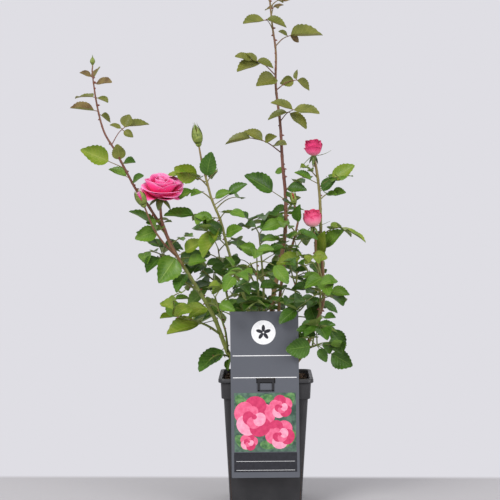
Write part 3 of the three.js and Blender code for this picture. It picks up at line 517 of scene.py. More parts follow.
def makeCard():
    # one sheet with a slot cut out that the clip comes through
    bm = bmesh.new()
    half, high = card["width"] / 2, card["height"] / 2
    place = cardPlace @ faceOn @ Matrix.Translation((0, high, 0)) @ Matrix.Diagonal((half, high, 1, 1))
    outline = bmesh.ops.create_grid(bm, x_segments=1, y_segments=1, size=1, matrix=place)["verts"]
    bmesh.ops.bevel(
        bm, geom=outline, offset=card["corner"], affect="VERTICES", segments=4, profile=0.5, material=-1
    )
    slotHalf = card["slotHalf"]
    slotLow, slotHigh = [height + card["bottom"] for height in card["slot"]]
    sideways, upright = (1, 0, 0), (0, 0, 1)
    for normal, spot in (
        (sideways, (-slotHalf, 0, 0)),
        (sideways, (slotHalf, 0, 0)),
        (upright, (0, 0, slotLow)),
        (upright, (0, 0, slotHigh)),
    ):
        geom = bm.verts[:] + bm.edges[:] + bm.faces[:]
        bmesh.ops.bisect_plane(bm, geom=geom, plane_co=spot, plane_no=normal)
    middles = {face: face.calc_center_median() for face in bm.faces}
    window = [f for f, spot in middles.items() if abs(spot.x) < slotHalf and slotLow < spot.z < slotHigh]
    bmesh.ops.delete(bm, geom=window, context="FACES")
    sheet = bmesh.ops.extrude_face_region(bm, geom=bm.faces[:])
    moved = [g for g in sheet["geom"] if isinstance(g, bmesh.types.BMVert)]
    bmesh.ops.translate(bm, verts=moved, vec=(0, -card["thickness"], 0))
    bmesh.ops.recalc_face_normals(bm, faces=bm.faces)
    piece = newObject("hang_card", meshFrom(bm, "hang_card"), [cardInk])
    finishPiece(piece, ["label_card"], smooth=False)


def cardPatch(bm, x, z, wide, high, layer, ink, spin=0.0, sides=0):
    # a printed patch, 0.08 mm proud of the card for each layer: a rectangle, or an oval of so many sides
    known = set(bm.faces)
    proud = -card["thickness"] - card["inkLayer"] * layer
    place = cardPlace @ Matrix.Translation((x, proud, z)) @ faceOn @ Matrix.Rotation(spin, 4, "Z")
    place = place @ Matrix.Diagonal((wide / 2, high / 2, 1, 1))
    if sides:
        bmesh.ops.create_circle(bm, cap_ends=True, segments=sides, radius=1, matrix=place)
    else:
        bmesh.ops.create_grid(bm, x_segments=1, y_segments=1, size=1, matrix=place)
    for face in bm.faces:
        if face not in known:
            face.material_index = inkNames.index(ink)


# places and sizes on the card, from the middle of its foot
printed = {
    "disc": (-0.0015, 0.229, 0.038),
    "sprig": (0.0065, 0.011, 0.0055),  # how far out its five leaves stand, their length and width
    "bars": (  # middle's height, width, height, layer and ink
        (0.1925, 0.1, 0.0012, 1, "white"),  # two rules
        (0.158, 0.1, 0.0012, 1, "white"),
        (0.0875, 0.097, 0.093, 1, "leafGround"),  # ground of the blossoms
        (0.0245, 0.099, 0.031, 1, "dark"),  # foot band with two fine rules
        (0.026, 0.092, 0.0005, 2, "white"),
        (0.012, 0.092, 0.0005, 2, "white"),
    ),
    "leaves": (  # x, z, spin and length
        (-0.036, 0.118, 0.6, 0.03), (0.034, 0.12, 2.4, 0.034), (0.038, 0.062, -0.5, 0.03),
        (-0.036, 0.056, -2.4, 0.03), (0.004, 0.052, 1.5, 0.026), (0.002, 0.125, 1.7, 0.024),
    ),
    "blossoms": (  # x, z, width and turn
        (-0.017, 0.096, 0.060, 0.2), (0.023, 0.069, 0.043, 0.9), (0.025, 0.112, 0.034, 0.5),
        (-0.026, 0.057, 0.026, 0.1),
    ),
    "rings": (  # reach and size of a ring's petals, as shares of the blossom's width, and their inks
        (0.3, 0.5, ("pink", "deepPink", "pink", "palePink", "deepPink")),
        (0.15, 0.32, ("deepPink", "pink", "deepPink", "pink", "palePink")),
    ),
}


def makePrint():
    # a white disc with a plain five-leaved sprig, bare bands, and plain blossoms of two rings of petals
    bm = bmesh.new()
    discX, discZ, disc = printed["disc"]
    cardPatch(bm, discX, discZ, disc, disc, 1, "white", sides=48)
    reach, long, wide = printed["sprig"]
    for k in range(5):
        angle = math.radians(90 + 72 * k)
        spot = discX + reach * math.cos(angle), discZ + reach * math.sin(angle)
        cardPatch(bm, *spot, long, wide, 2, "dark", spin=angle, sides=14)
    for z, wide, high, layer, ink in printed["bars"]:
        cardPatch(bm, 0, z, wide, high, layer, ink)
    for x, z, spin, long in printed["leaves"]:
        cardPatch(bm, x, z, long * 0.55, long, 2, "leafShape", spin=spin, sides=16)
    for x, z, wide, shift in printed["blossoms"]:
        for ring, (reach, size, tones) in enumerate(printed["rings"]):
            for k, tone in enumerate(tones):
                angle = shift + math.radians(72 * k + 36 * ring)
                spot = x + reach * wide * math.cos(angle), z + reach * wide * math.sin(angle)
                layer = 3 + k * 0.2 + ring * 1.5
                cardPatch(bm, *spot, size * wide, size * 1.15 * wide, layer, tone, spin=angle, sides=18)
        cardPatch(bm, x, z, 0.13 * wide, 0.13 * wide, 6, "deepPink", sides=16)
    bmesh.ops.recalc_face_normals(bm, faces=bm.faces)
    for face in bm.faces:
        if face.normal.y > 0:
            face.normal_flip()
    piece = newObject("card_print", meshFrom(bm, "card_print"), inks.values())
    finishPiece(piece, smooth=False)


clip = {
    "width": 0.026,
    "thickness": 0.0012,
    "drop": 0.020,
    "leg": 0.0035,
    "bar": 0.006,
    "foot": 0.002,
    "armFoot": 0.192,
    "gap": 0.0003,
    "edge": 0.0003,
}


def boxInto(bm, low, high):
    # a box with softened edges between two corners
    size = [b - a for a, b in zip(low, high)]
    middle = [(a + b) / 2 for a, b in zip(low, high)]
    made = bmesh.ops.create_cube(bm, size=1, matrix=Matrix.Translation(middle) @ Matrix.Diagonal((*size, 1)))
    edges = {edge for vert in made["verts"] for edge in vert.link_edges}
    bmesh.ops.bevel(
        bm, geom=list(edges), offset=clip["edge"], affect="EDGES", segments=2, profile=0.5, material=-1
    )


def makeClip():
    # an arm inside the rim, a bridge over it, and a frame in front that reaches through the card's slot
    bm = bmesh.new()
    half, thickness = clip["width"] / 2, clip["thickness"]
    inner = -pot["collar"] + pot["wall"] + 0.001
    top = pot["height"] + clip["gap"]
    crest = top + thickness
    front = card["back"] - card["thickness"] - clip["gap"] - thickness
    foot = crest - clip["drop"]
    barFoot = crest - clip["bar"]
    boxInto(bm, (-half, inner, clip["armFoot"]), (half, inner + thickness, crest))
    boxInto(bm, (-half, front, top), (half, inner + thickness, crest))
    boxInto(bm, (-half, front, barFoot), (half, front + thickness, crest))
    for left, right in ((-half, clip["leg"] - half), (half - clip["leg"], half)):
        boxInto(bm, (left, front, foot), (right, front + thickness, barFoot))
    boxInto(bm, (-half, front, foot), (half, front + thickness, foot + clip["foot"]))
    piece = newObject("rim_clip", meshFrom(bm, "rim_clip"), [clipPlastic])
    finishPiece(piece, ["label_clip"], smooth=False)


makeCard()
makePrint()
makeClip()
print("card and clip made")

# Canes: points in millimetres from foot to tip, with the radii at both ends

stem = {"points": [(0, 0, 186), (0, 0, 197), (-1, 1, 208), (0, 2, 221)], "radii": (18, 12, 14, 8)}
canes = {
    "cane_left": ("green", (4, 2.9), [
        (-6, -1, 206), (-38, -6, 213), (-60, -9, 238), (-83, -12, 297), (-111, -16, 346),
        (-146, -21, 402),
    ]),
    "cane_left_leader": ("red", (2.6, 2.2), [
        (-139, -20, 391), (-151, -8, 412), (-166, -6, 440), (-190, -12, 479),
    ]),
    "cane_centre_left": ("green", (3.4, 2.5), [
        (-3, 0, 214), (-11, -6, 245), (-24, -12, 292), (-39, -17, 345),
    ]),
    "cane_centre": ("green", (3.2, 2.2), [(0, -4, 206), (-2, -24, 218), (-6, -36, 242), (-8, -42, 266)]),
    "cane_tall": ("red", (4.4, 3.3), [
        (2, 4, 214), (7, 9, 270), (12, 13, 330), (24, 16, 385), (31, 18, 430),
    ]),
    "cane_inner_right": ("red", (3, 2.3), [
        (5, -1, 212), (16, -10, 245), (20, -16, 300), (24, -22, 345), (29, -26, 380),
    ]),
    "cane_right": ("red", (3.8, 2.6), [
        (6, -2, 206), (36, -6, 213), (56, -9, 234), (76, -12, 275), (92, -14, 325), (91, -14, 375),
        (88, -13, 412),
    ]),
    "cane_right_fork": ("green", (2.3, 2), [
        (92, -14, 348), (86, -26, 372), (80, -30, 398), (79, -31, 424),
    ]),
    "cane_back_left": ("red", (3.4, 2.4), [(-4, 4, 208), (-26, 26, 228), (-42, 42, 254), (-52, 52, 280)]),
    "cane_back": ("green", (3.2, 2.3), [(-2, 8, 212), (-6, 28, 234), (-6, 42, 264), (-4, 52, 296)]),
    "cane_back_right": ("red", (3.4, 2.4), [(4, 4, 208), (24, 24, 226), (36, 42, 250), (42, 54, 278)]),
    "shoot_left_mid": ("twig", (2.2, 1.9), [(-106, -20, 340), (-124, -10, 350), (-142, -2, 362)]),
    "shoot_left_low": ("twig", (2, 1.7), [(-73, -12, 270), (-92, -22, 284), (-112, -30, 293)]),
    "shoot_low_left": ("twig", (2, 1.7), [(-62, -9, 240), (-62, -26, 256), (-64, -40, 276)]),
    "shoot_sprig_left": ("twig", (1.7, 1.4), [(-58, -8, 234), (-68, -24, 238), (-76, -34, 239)]),
    "shoot_right_mid": ("red", (2.1, 1.8), [(80, -12, 284), (84, -26, 298), (86, -38, 316)]),
    "shoot_right_low": ("red", (2, 1.7), [(60, -9, 241), (66, -28, 248), (72, -46, 253)]),
}

# Masses of leaves, in mm: limb, bark, radii, seed and the stem's points; then either the leaves' nodes as
# (height, heading, size) or how a bushy stem fills up; tones from foot to tip; oneByOne is the stretch
# where the leaves are placed singly further down

masses = {
    "foliage_left_leader": {
        "limb": "cane_left_leader", "bark": "red", "radii": (2.2, 1.1), "seed": 11,
        "points": [
            (-207, -16, 501), (-225, -20, 535), (-241, -22, 565), (-259, -21, 596), (-270, -20, 638),
            (-277, -19, 686), (-277, -18, 700),
        ],
        "nodes": [
            (490, 150, 0.85), (514, 205, 0.8), (534, 176, 1.1), (548, 20, 0.65), (578, 22, 1.05),
            (606, 250, 0.5), (626, 184, 0.8), (640, 0, 0.55), (652, 172, 0.65), (660, 5, 0.5),
            (678, -12, 0.55), (688, 160, 0.4), (694, 30, 0.4),
        ],
        "tones": ("bright", "bright", "young", "young", "bronze", "bronze"),
        "oneByOne": (485, 702),
    },
    "foliage_left_bloom": {
        "limb": "cane_left", "bark": "green", "radii": (2.9, 2.3), "seed": 23,
        "points": [(-157, -24, 426), (-167, -26, 455)],
        "nodes": [(414, 8, 0.8), (428, 205, 0.75), (440, 110, 0.7)],
        "tones": ("green", "bright"),
    },
    "foliage_left_mid": {
        "limb": "shoot_left_mid", "bark": "twig", "radii": (1.9, 1), "seed": 31,
        "points": [(-156, 6, 376), (-168, 14, 398)],
        "step": 14, "size": 1.2, "turn": 190, "twigs": 2,
        "tones": ("green", "bright", "deep"),
    },
    "foliage_left_low": {
        "limb": "shoot_left_low", "bark": "twig", "radii": (1.7, 1), "seed": 43,
        "points": [(-132, -37, 298), (-150, -42, 306)],
        "step": 14, "size": 1.15, "turn": 170, "twigs": 2,
        "tones": ("bright", "green", "bright"),
    },
    "foliage_sprig_left": {
        "limb": "shoot_sprig_left", "bark": "twig", "radii": (1.4, 1), "seed": 57,
        "points": [(-84, -42, 236), (-90, -48, 232)],
        "nodes": [(235, 190, 0.8)],
        "tones": ("bright",),
    },
    "foliage_centre_left": {
        "limb": "cane_centre_left", "bark": "twig", "radii": (2.5, 1.7), "seed": 61,
        "points": [
            (-51, -20, 376), (-64, -22, 420), (-72, -23, 452), (-86, -25, 486), (-94, -26, 515),
            (-102, -27, 545),
        ],
        "nodes": [
            (366, 95, 0.9), (384, 250, 0.85), (410, 178, 1.1), (426, 12, 1), (442, 192, 1),
            (456, -45, 0.75), (471, 14, 1.25), (486, 184, 1.1), (506, 168, 1.15), (514, 40, 1),
        ],
        "tones": ("green", "deep", "green", "bright"),
    },
    "foliage_low_left": {
        "limb": "shoot_low_left", "bark": "twig", "radii": (1.7, 1), "seed": 71,
        "points": [(-72, -52, 304), (-80, -60, 334)],
        "step": 14, "size": 1.2, "turn": 200, "twigs": 3,
        "tones": ("deep", "green", "bright"),
    },
    "foliage_centre": {
        "limb": "cane_centre", "bark": "twig", "radii": (2.2, 1.1), "seed": 83,
        "points": [(-10, -50, 310), (-13, -58, 350), (-14, -64, 388)],
        "step": 14, "size": 1.2, "turn": 250, "twigs": 4,
        "tones": ("deep", "deep", "green"),
    },
    "foliage_tall": {
        "limb": "cane_tall", "bark": "red", "radii": (3.3, 1.4), "seed": 97,
        "points": [
            (32, 19, 490), (27, 20, 545), (23, 21, 611), (16, 22, 670), (16, 22, 725), (10, 22, 770),
            (6, 22, 812),
        ],
        "nodes": [
            (440, 216, 1.3), (452, 95, 1), (462, -64, 1.05), (478, 196, 1.1), (500, -8, 1.2),
            (524, 75, 0.7), (558, 172, 1.25), (597, -20, 0.9), (624, 168, 0.75), (634, -10, 1.05),
            (664, 165, 0.8), (676, 8, 0.95), (700, 172, 1.05), (738, 10, 1.1), (758, 174, 0.9),
            (768, 0, 0.6), (784, 60, 0.5), (798, -20, 0.45), (806, 170, 0.4),
        ],
        "tones": ("deep", "green", "young", "young", "bronze"),
        "oneByOne": (550, 775),
    },
    "foliage_inner_right": {
        "limb": "cane_inner_right", "bark": "red", "radii": (2.3, 1.7), "seed": 101,
        "points": [(43, -29, 417), (51, -31, 451)],
        "nodes": [(396, -95, 0.8), (408, 196, 0.75), (420, -70, 0.85), (434, 215, 0.8)],
        "tones": ("deep", "green"),
    },
    "foliage_right_upper": {
        "limb": "cane_right", "bark": "twig", "radii": (2.6, 2), "seed": 113,
        "points": [(88, -12, 440), (87, -11, 480), (84, -10, 515), (79, -10, 548)],
        "nodes": [
            (426, -12, 1.15), (446, 60, 0.85), (474, 196, 0.8), (486, 10, 0.7), (506, -5, 1.2),
            (520, 184, 0.75), (528, 60, 0.5), (534, -10, 0.45),
        ],
        "tones": ("bright", "green", "bright"),
    },
    "foliage_right_mid": {
        "limb": "shoot_right_mid", "bark": "twig", "radii": (1.8, 1), "seed": 127,
        "points": [(86, -47, 342), (82, -52, 376)],
        "step": 14, "size": 1.15, "turn": 0, "twigs": 3,
        "tones": ("deep", "green", "bright"),
    },
    "foliage_right_low": {
        "limb": "shoot_right_low", "bark": "twig", "radii": (1.7, 1), "seed": 139,
        "points": [(78, -66, 257), (80, -84, 260)],
        "step": 13, "size": 1.1, "turn": -20, "twigs": 2,
        "tones": ("deep", "green"),
    },
    "foliage_back_left": {
        "limb": "cane_back_left", "bark": "twig", "radii": (2.4, 1.1), "seed": 149,
        "points": [(-64, 66, 326), (-74, 78, 370), (-80, 88, 406)],
        "step": 16, "size": 1.25, "turn": 130, "twigs": 2,
        "tones": ("deep", "green", "deep"),
    },
    "foliage_back": {
        "limb": "cane_back", "bark": "twig", "radii": (2.3, 1.1), "seed": 151,
        "points": [(-4, 66, 344), (-8, 78, 394), (-12, 86, 432)],
        "step": 15, "size": 1.25, "turn": 60, "twigs": 3,
        "tones": ("deep", "green", "green"),
    },
    "foliage_back_right": {
        "limb": "cane_back_right", "bark": "twig", "radii": (2.4, 1.1), "seed": 163,
        "points": [(48, 68, 322), (52, 80, 368), (52, 90, 408)],
        "step": 16, "size": 1.2, "turn": 20, "twigs": 2,
        "tones": ("deep", "green", "deep"),
    },
}


def smoothLine(points, steps):
    # the even Catmull-Rom curve through the points
    path = [Vector(p) for p in points]
    path = [path[0] * 2 - path[1], *path, path[-1] * 2 - path[-2]]
    line = []
    for k in range(1, len(path) - 2):
        a, b, c, d = path[k - 1 : k + 3]
        for step in range(steps):
            t = step / steps
            m, n = (c - a) * 0.5, (d - b) * 0.5
            line.append(b + m * t + (b * -3 + c * 3 - m * 2 - n) * t * t + (b * 2 - c * 2 + m + n) * t**3)
    return line + [path[-2]]


def lengthOf(line):
    return sum((b - a).length for a, b in zip(line, line[1:]))


def pointAt(line, distance):
    left = distance
    for a, b in zip(line, line[1:]):
        span = (b - a).length
        if left <= span:
            return a.lerp(b, left / span)
        left -= span
    return line[-1].copy()


def pointAtHeight(line, height):
    for a, b in zip(line, line[1:]):
        share = (height - a.z) / (b.z - a.z)
        if share <= 1:
            return a.lerp(b, max(0.0, share))
    return line[-1].copy()


# how canes and twigs are drawn, in mm: step along them, knots where leaves grow, ridges of the bark
caneRule = {
    "lineSteps": 10,
    "spacing": 2.5,
    "knots": (18, 27, 6),  # first, distance, and how far from the tip the last may be
    "knotWidth": 1.8,
    "knotSwell": 0.16,
    "ridges": (700, 700, 160),  # waves in a metre across and along
    "caneRelief": 0.00035,
    "twigRelief": 0.00015,
}
lines = {name: smoothLine(points, caneRule["lineSteps"]) for name, (bark, ends, points) in canes.items()}
for mass in masses.values():
    limbPoints = canes[mass["limb"]][2]
    joined = smoothLine([*limbPoints, *mass["points"]], caneRule["lineSteps"])
    mass["line"] = joined[(len(limbPoints) - 1) * caneRule["lineSteps"] :]


def lineNamed(name):
    return lines[name] if name in lines else masses[name]["line"]


def radiusNamed(name):
    return canes[name][1][-1] if name in canes else masses[name]["radii"][-1]


def radiiAlong(line, ends, knots=()):
    # a taper from foot to tip, swollen a little where a leaf grows
    total, walked, radii = lengthOf(line), 0.0, []
    for k, point in enumerate(line):
        walked += (point - line[k - 1]).length if k else 0.0
        share = walked / total * (len(ends) - 1)
        low = min(int(share), len(ends) - 2)
        radius = ends[low] + (ends[low + 1] - ends[low]) * (share - low)
        swell = sum(math.exp(-(((walked - knot) / caneRule["knotWidth"]) ** 2)) for knot in knots)
        radii.append(radius * (1 + caneRule["knotSwell"] * min(swell, 1)))
    return radii


def finely(line):
    total = lengthOf(line)
    count = max(2, round(total / caneRule["spacing"]))
    return [pointAt(line, total * k / count) for k in range(count + 1)]


def tubesMesh(name, runs, materials, resolution):
    # runs of (points in mm, radii in mm, index of the material)
    curve = bpy.data.curves.new(name, "CURVE")
    curve.dimensions = "3D"
    curve.bevel_depth = mm
    curve.bevel_resolution = resolution
    curve.use_fill_caps = True
    for material in materials:
        curve.materials.append(material)
    for points, radii, index in runs:
        spline = curve.splines.new("POLY")
        spline.points.add(len(points) - 1)
        spline.material_index = index
        for spot, point, radius in zip(spline.points, points, radii):
            spot.co = (*(point * mm), 1)
            spot.radius = radius
    holder = bpy.data.objects.new(name, curve)
    bpy.context.scene.collection.objects.link(holder)
    graph = bpy.context.evaluated_depsgraph_get()
    mesh = bpy.data.meshes.new_from_object(holder.evaluated_get(graph))
    bpy.data.objects.remove(holder)
    mesh.name = name
    return mesh


def addBarkRelief(mesh, depth):
    # ridges along the cane and soft bumps, moved into the mesh
    mesh.update()
    normals = [Vector(v.normal) for v in mesh.vertices]
    for vert, normal in zip(mesh.vertices, normals):
        spot = Vector([place * ridges for place, ridges in zip(vert.co, caneRule["ridges"])])
        vert.co += normal * depth * noise.noise(spot)


def makeCanes():
    stemLine = smoothLine(stem["points"], 8)
    runs = [(stemLine, radiiAlong(stemLine, stem["radii"]), barkNames.index("red"))]
    first, distance, last = caneRule["knots"]
    for name, (bark, ends, points) in canes.items():
        line = finely(lines[name])
        knots = np.arange(first, lengthOf(line) - last, distance)
        runs.append((line, radiiAlong(line, ends, knots), barkNames.index(bark)))
    mesh = tubesMesh("canes", runs, barks.values(), 3)
    addBarkRelief(mesh, caneRule["caneRelief"])
    finishPiece(newObject("canes", mesh), ["stem", *canes])


makeCanes()
print("canes made")

# Prickles: short hooked horns that point down the cane

prickle = {
    "length": 3.6,
    "foot": 1.5,
    "sides": 6,
    "rings": ((0.3, 0.62, 0.05), (0.62, 0.5, 0.25), (0.9, 0.4, 0.55), (1.05, 0.1, 0.9)),  # height, size, drop
    "spacing": {"red": 13, "green": 21, "twig": 24},
    "bare": (4, 3),  # at the cane's foot and tip
    "lengths": (0.6, 1.15),  # what the dice make of length, foot and spacing
    "feet": (0.8, 1.1),
    "spaces": (0.5, 1.6),
    "sunk": 0.8,  # where the foot is, as a share of the cane's radius
}


def arraysOf(bm):
    # a small bmesh as arrays that many copies are joined from
    bm.verts.index_update()
    layer = bm.loops.layers.uv.active
    verts = np.array([v.co for v in bm.verts])
    faces = [[v.index for v in f.verts] for f in bm.faces]
    maps = [list(loop[layer].uv) for f in bm.faces for loop in f.loops] if layer else None
    kinds = [f.material_index for f in bm.faces]
    bm.free()
    return verts, faces, maps, kinds


def joinCopies(name, placed):
    # placed: (arrays, 3x3 matrix, foot, {kind: material index}); points in mm
    verts, faces, maps, kinds = [], [], [], []
    count = 0
    for (points, polygons, mapping, marks), turn, foot, dealt in placed:
        verts.append((points @ np.array(turn).T + np.array(foot)) * mm)
        faces.extend([i + count for i in polygon] for polygon in polygons)
        if mapping:
            maps.extend(mapping)
        kinds.extend(dealt[mark] for mark in marks)
        count += len(points)
    mesh = bpy.data.meshes.new(name)
    mesh.from_pydata(np.concatenate(verts).tolist(), [], faces)
    mesh.polygons.foreach_set("material_index", kinds)
    if maps:
        layer = mesh.uv_layers.new(name="leafMap")
        layer.uv.foreach_set("vector", np.array(maps).ravel())
    mesh.update()
    return mesh


def makePricklePattern():
    bm = bmesh.new()
    ring = bmesh.ops.create_circle(bm, segments=prickle["sides"], radius=1.0)["verts"]
    bmesh.ops.scale(bm, verts=ring, vec=(0.5, 1.2, 1))
    edges = bm.edges[:]
    for high, size, drop in prickle["rings"]:
        made = bmesh.ops.extrude_edge_only(bm, edges=edges)["geom"]
        ring = [g for g in made if isinstance(g, bmesh.types.BMVert)]
        edges = [g for g in made if isinstance(g, bmesh.types.BMEdge) and all(v in ring for v in g.verts)]
        middle = sum((v.co for v in ring), Vector()) / len(ring)
        for vert in ring:
            away = vert.co - middle
            vert.co = Vector((away.x * size / 0.7, away.y * size / 0.7 - drop * 0.55, high))
    bmesh.ops.contextual_create(bm, geom=ring)
    bmesh.ops.recalc_face_normals(bm, faces=bm.faces)
    return arraysOf(bm)


pricklePattern = makePricklePattern()
prickles = []


def addPrickles(line, ends, spacing, seed):
    # horns thrown along a cane, on all its sides
    dice = makeDice(seed)
    total = lengthOf(line)
    first, last = prickle["bare"]
    way = dice(first, spacing)
    while way < total - last:
        spot = pointAt(line, way)
        along = (pointAt(line, way + 1) - pointAt(line, way - 1)).normalized()
        turn = dice(0, 6.283)
        side = along.orthogonal().normalized()
        out = side * math.cos(turn) + along.cross(side) * math.sin(turn)
        across = along.cross(out)
        radius = ends[0] + (ends[-1] - ends[0]) * way / total
        long = prickle["length"] * dice(*prickle["lengths"])
        wide = prickle["foot"] * dice(*prickle["feet"])
        axes = Matrix((across * wide, along * wide, out * long)).transposed()
        prickles.append((pricklePattern, axes, spot + out * radius * prickle["sunk"], {0: 0}))
        way += spacing * dice(*prickle["spaces"])


# Leaves. A leaf is a stalk with pairs of leaflets and one at its end; the throws of the dice come in
# the same order as for the solids, so that each leaf lies where its solid does.

leafRule = {
    "stalk": 54,
    "length": 37,
    "width": 0.64,  # to the length, as the thickness is
    "thickness": 0.008,
    "pairs": (0.42, 0.78),
    "splay": math.radians(62),
    "overlap": 18,  # how far a leaf may reach into its neighbour's space
    "smallSize": 0.6,  # leaves below this size have one pair and stand up more
    "probes": ((0.45, 0.26), (0.45, -0.26), (0.9, 0)),  # where a leaflet is tested, along and across it
    "pairSizes": (0.72, 0.84),  # of the lower and the upper pair, next to the end leaflet
    "rises": {"upright": 48, "small": 62, "low": 8, "high": 50, "top": 60},  # of the stalk, in degrees
    "topSize": 0.8,  # of the leaf at a bushy stem's tip
    # what the dice choose from, angles in degrees: the stalk's heading, rise, size and sag, where the
    # leaflets look besides up, and how pairs and the end leaflet lie
    "swing": (-14, 14),
    "tilt": (-8, 8),
    "sizes": (0.9, 1.1),
    "sag": (0.25, 0.55),
    "aside": (-0.3, 0.3),
    "ahead": (0.05, 1.3),
    "splays": (0.94, 1.06),
    "roll": (-20, 20),
    "droop": (-8, 24),
    "endDroop": (-4, 28),
    "endSizes": (0.95, 1.15),
}
leafletShapes = [
    {"belly": 0.8, "fold": 0.16, "wave": 0.012, "hang": 0.1},
    {"belly": 0.72, "fold": 0.1, "wave": 0.02, "hang": 0.16},
    {"belly": 0.88, "fold": 0.2, "wave": 0.015, "hang": 0.06},
]


def makeLeafletPattern(belly, fold, wave, hang):
    # a grid drawn to a toothed, pointed oval, folded at the midrib, with an underside joined at its rim
    bm = bmesh.new()
    bm.loops.layers.uv.new("leafMap")
    rows = 16
    made = bmesh.ops.create_grid(bm, x_segments=6, y_segments=rows, size=1, calc_uvs=True)["verts"]
    for vert in made:
        side, share = vert.co.x, (vert.co.y + 1) / 2
        row = round(share * rows)
        half = math.sin(math.pi * share**0.8) ** belly if 0 < row < rows else 0.0
        if abs(side) > 0.9 and 0 < row < rows:
            half *= 1.03 if row % 2 else 0.95
        lift = fold * side * side * half - hang * share * share + wave * math.sin(share * 11) * abs(side) ** 2
        tooth = 0.02 * abs(side) if row % 2 else 0
        vert.co = Vector((share + tooth, side * half * leafRule["width"] / 2, lift))
    copy = bmesh.ops.duplicate(bm, geom=bm.verts[:] + bm.edges[:] + bm.faces[:])
    under = [g for g in copy["geom"] if isinstance(g, bmesh.types.BMFace)]
    bmesh.ops.reverse_faces(bm, faces=under)
    rim = {v for e in bm.edges if e.is_boundary for v in e.verts}
    for face in under:
        face.material_index = 1
    for vert in {v for face in under for v in face.verts}:
        if vert not in rim:
            vert.co.z -= leafRule["thickness"]
    bmesh.ops.remove_doubles(bm, verts=bm.verts[:], dist=1e-5)
    return arraysOf(bm)


leafletPatterns = [makeLeafletPattern(**shape) for shape in leafletShapes]
leaflets = {name: [] for name in masses}
stalks = []
twigs = []


def leafletFrame(foot, ahead, side, splay, droop, roll, length, sky):
    # a leaflet's foot, axes and length; it looks towards sky before it is rolled
    along = ahead * math.cos(splay) + side * math.sin(splay)
    along.z -= math.sin(droop)
    along.normalize()
    level = sky.cross(along).normalized()
    face = along.cross(level)
    across = level * math.cos(roll) + face * math.sin(roll)
    return {"foot": foot, "along": along, "across": across, "face": along.cross(across), "length": length}


def planLeaf(foot, turn, rise, size, dice, pairs):
    # the arched stalk, as a function of the share along it, and the leaflets on it
    heading = turn + math.radians(dice(*leafRule["swing"]))
    climb = rise + math.radians(dice(*leafRule["tilt"]))
    scale = size * dice(*leafRule["sizes"])
    sag = dice(*leafRule["sag"])
    sky = Vector((dice(*leafRule["aside"]), -dice(*leafRule["ahead"]), 1))
    out = Vector((math.cos(heading), math.sin(heading), 0))
    side = Vector((-out.y, out.x, 0))
    length = leafRule["stalk"] * scale

    def place(share):
        point = foot + out * share * length * math.cos(climb)
        point.z += length * (share * math.sin(climb) - sag * share * share)
        return point

    def headingAt(share):
        return (place(share + 0.02) - place(share - 0.02)).normalized()

    made = []
    for share, pairSize in list(zip(leafRule["pairs"], leafRule["pairSizes"]))[2 - pairs :]:
        for hand in (-1, 1):
            long = leafRule["length"] * scale * pairSize * dice(*leafRule["sizes"])
            droop, roll = [math.radians(dice(*leafRule[angle])) for angle in ("droop", "roll")]
            splay = hand * leafRule["splay"] * dice(*leafRule["splays"])
            made.append(leafletFrame(place(share), headingAt(share), side, splay, droop, roll, long, sky))
            made[-1]["share"] = share
    droop, roll = [math.radians(dice(*leafRule[angle])) for angle in ("endDroop", "roll")]
    long = leafRule["length"] * scale * dice(*leafRule["endSizes"])
    made.append(leafletFrame(place(1), headingAt(1), side, 0, droop, roll, long, sky))
    made[-1]["share"] = 1.0
    return place, made


# Where leaves may be, in mm: as in the source, clear of pot, card and blossom and within the solids' reach

cadLow, cadHigh = [Vector(corner) / mm for corner in cadBox]
space = {
    "margin": 4,
    "sides": (-220, 148),  # the crown's sides, which bushy masses keep within
    "potHalf": 78,
    "potTop": 207,
    "cardHalf": 56,
    "cardTop": 314,
    "card": (-73.5, -81),  # behind and before the card
    "cardOpen": 24,  # right of this, leaves may hang before the card
    "twigBorder": 1.5,
    "twigGap": 2.5,
    "leafGap": 1,
}
bloomSpaces = []


def isOpen(point, bushy):
    margin, (left, right), (behind, before) = space["margin"], space["sides"], space["card"]
    if any(not low - margin < p < high + margin for p, low, high in zip(point, cadLow, cadHigh)):
        return False
    if bushy and not left < point.x < right:
        return False
    if max(abs(point.x), abs(point.y)) < space["potHalf"] and point.z < space["potTop"]:
        return False
    if point.y < behind and abs(point.x) < space["cardHalf"] and point.z < space["cardTop"]:
        if point.y > before or point.x < space["cardOpen"]:
            return False
    return all((point - middle).length > reach for middle, reach in bloomSpaces)


def closestOn(point, a, b):
    along = b - a
    return a + along * max(0.0, min(1.0, (point - a).dot(along) / along.length_squared))


def distanceToLine(point, line):
    return min((point - closestOn(point, a, b)).length for a, b in zip(line, line[1:]))


def distanceToMass(point, mass):
    return min(distanceToLine(point, line) for line in [mass["coarse"], *mass["twigLines"]])


def isCloser(point, mass, border):
    # whether another mass is nearer to the point than the border
    return any(other is not mass and distanceToMass(point, other) < border for other in masses.values())


def isOffCanes(point, gap):
    return all(distanceToLine(point, line) > radius + gap for line, radius in obstacles)


def isFree(point, mass):
    # the source's rule: a twig stays nearest to its own mass and keeps clear of the limbs
    if not isOpen(point, True) or isCloser(point, mass, distanceToMass(point, mass) + space["twigBorder"]):
        return False
    return isOffCanes(point, space["twigGap"])


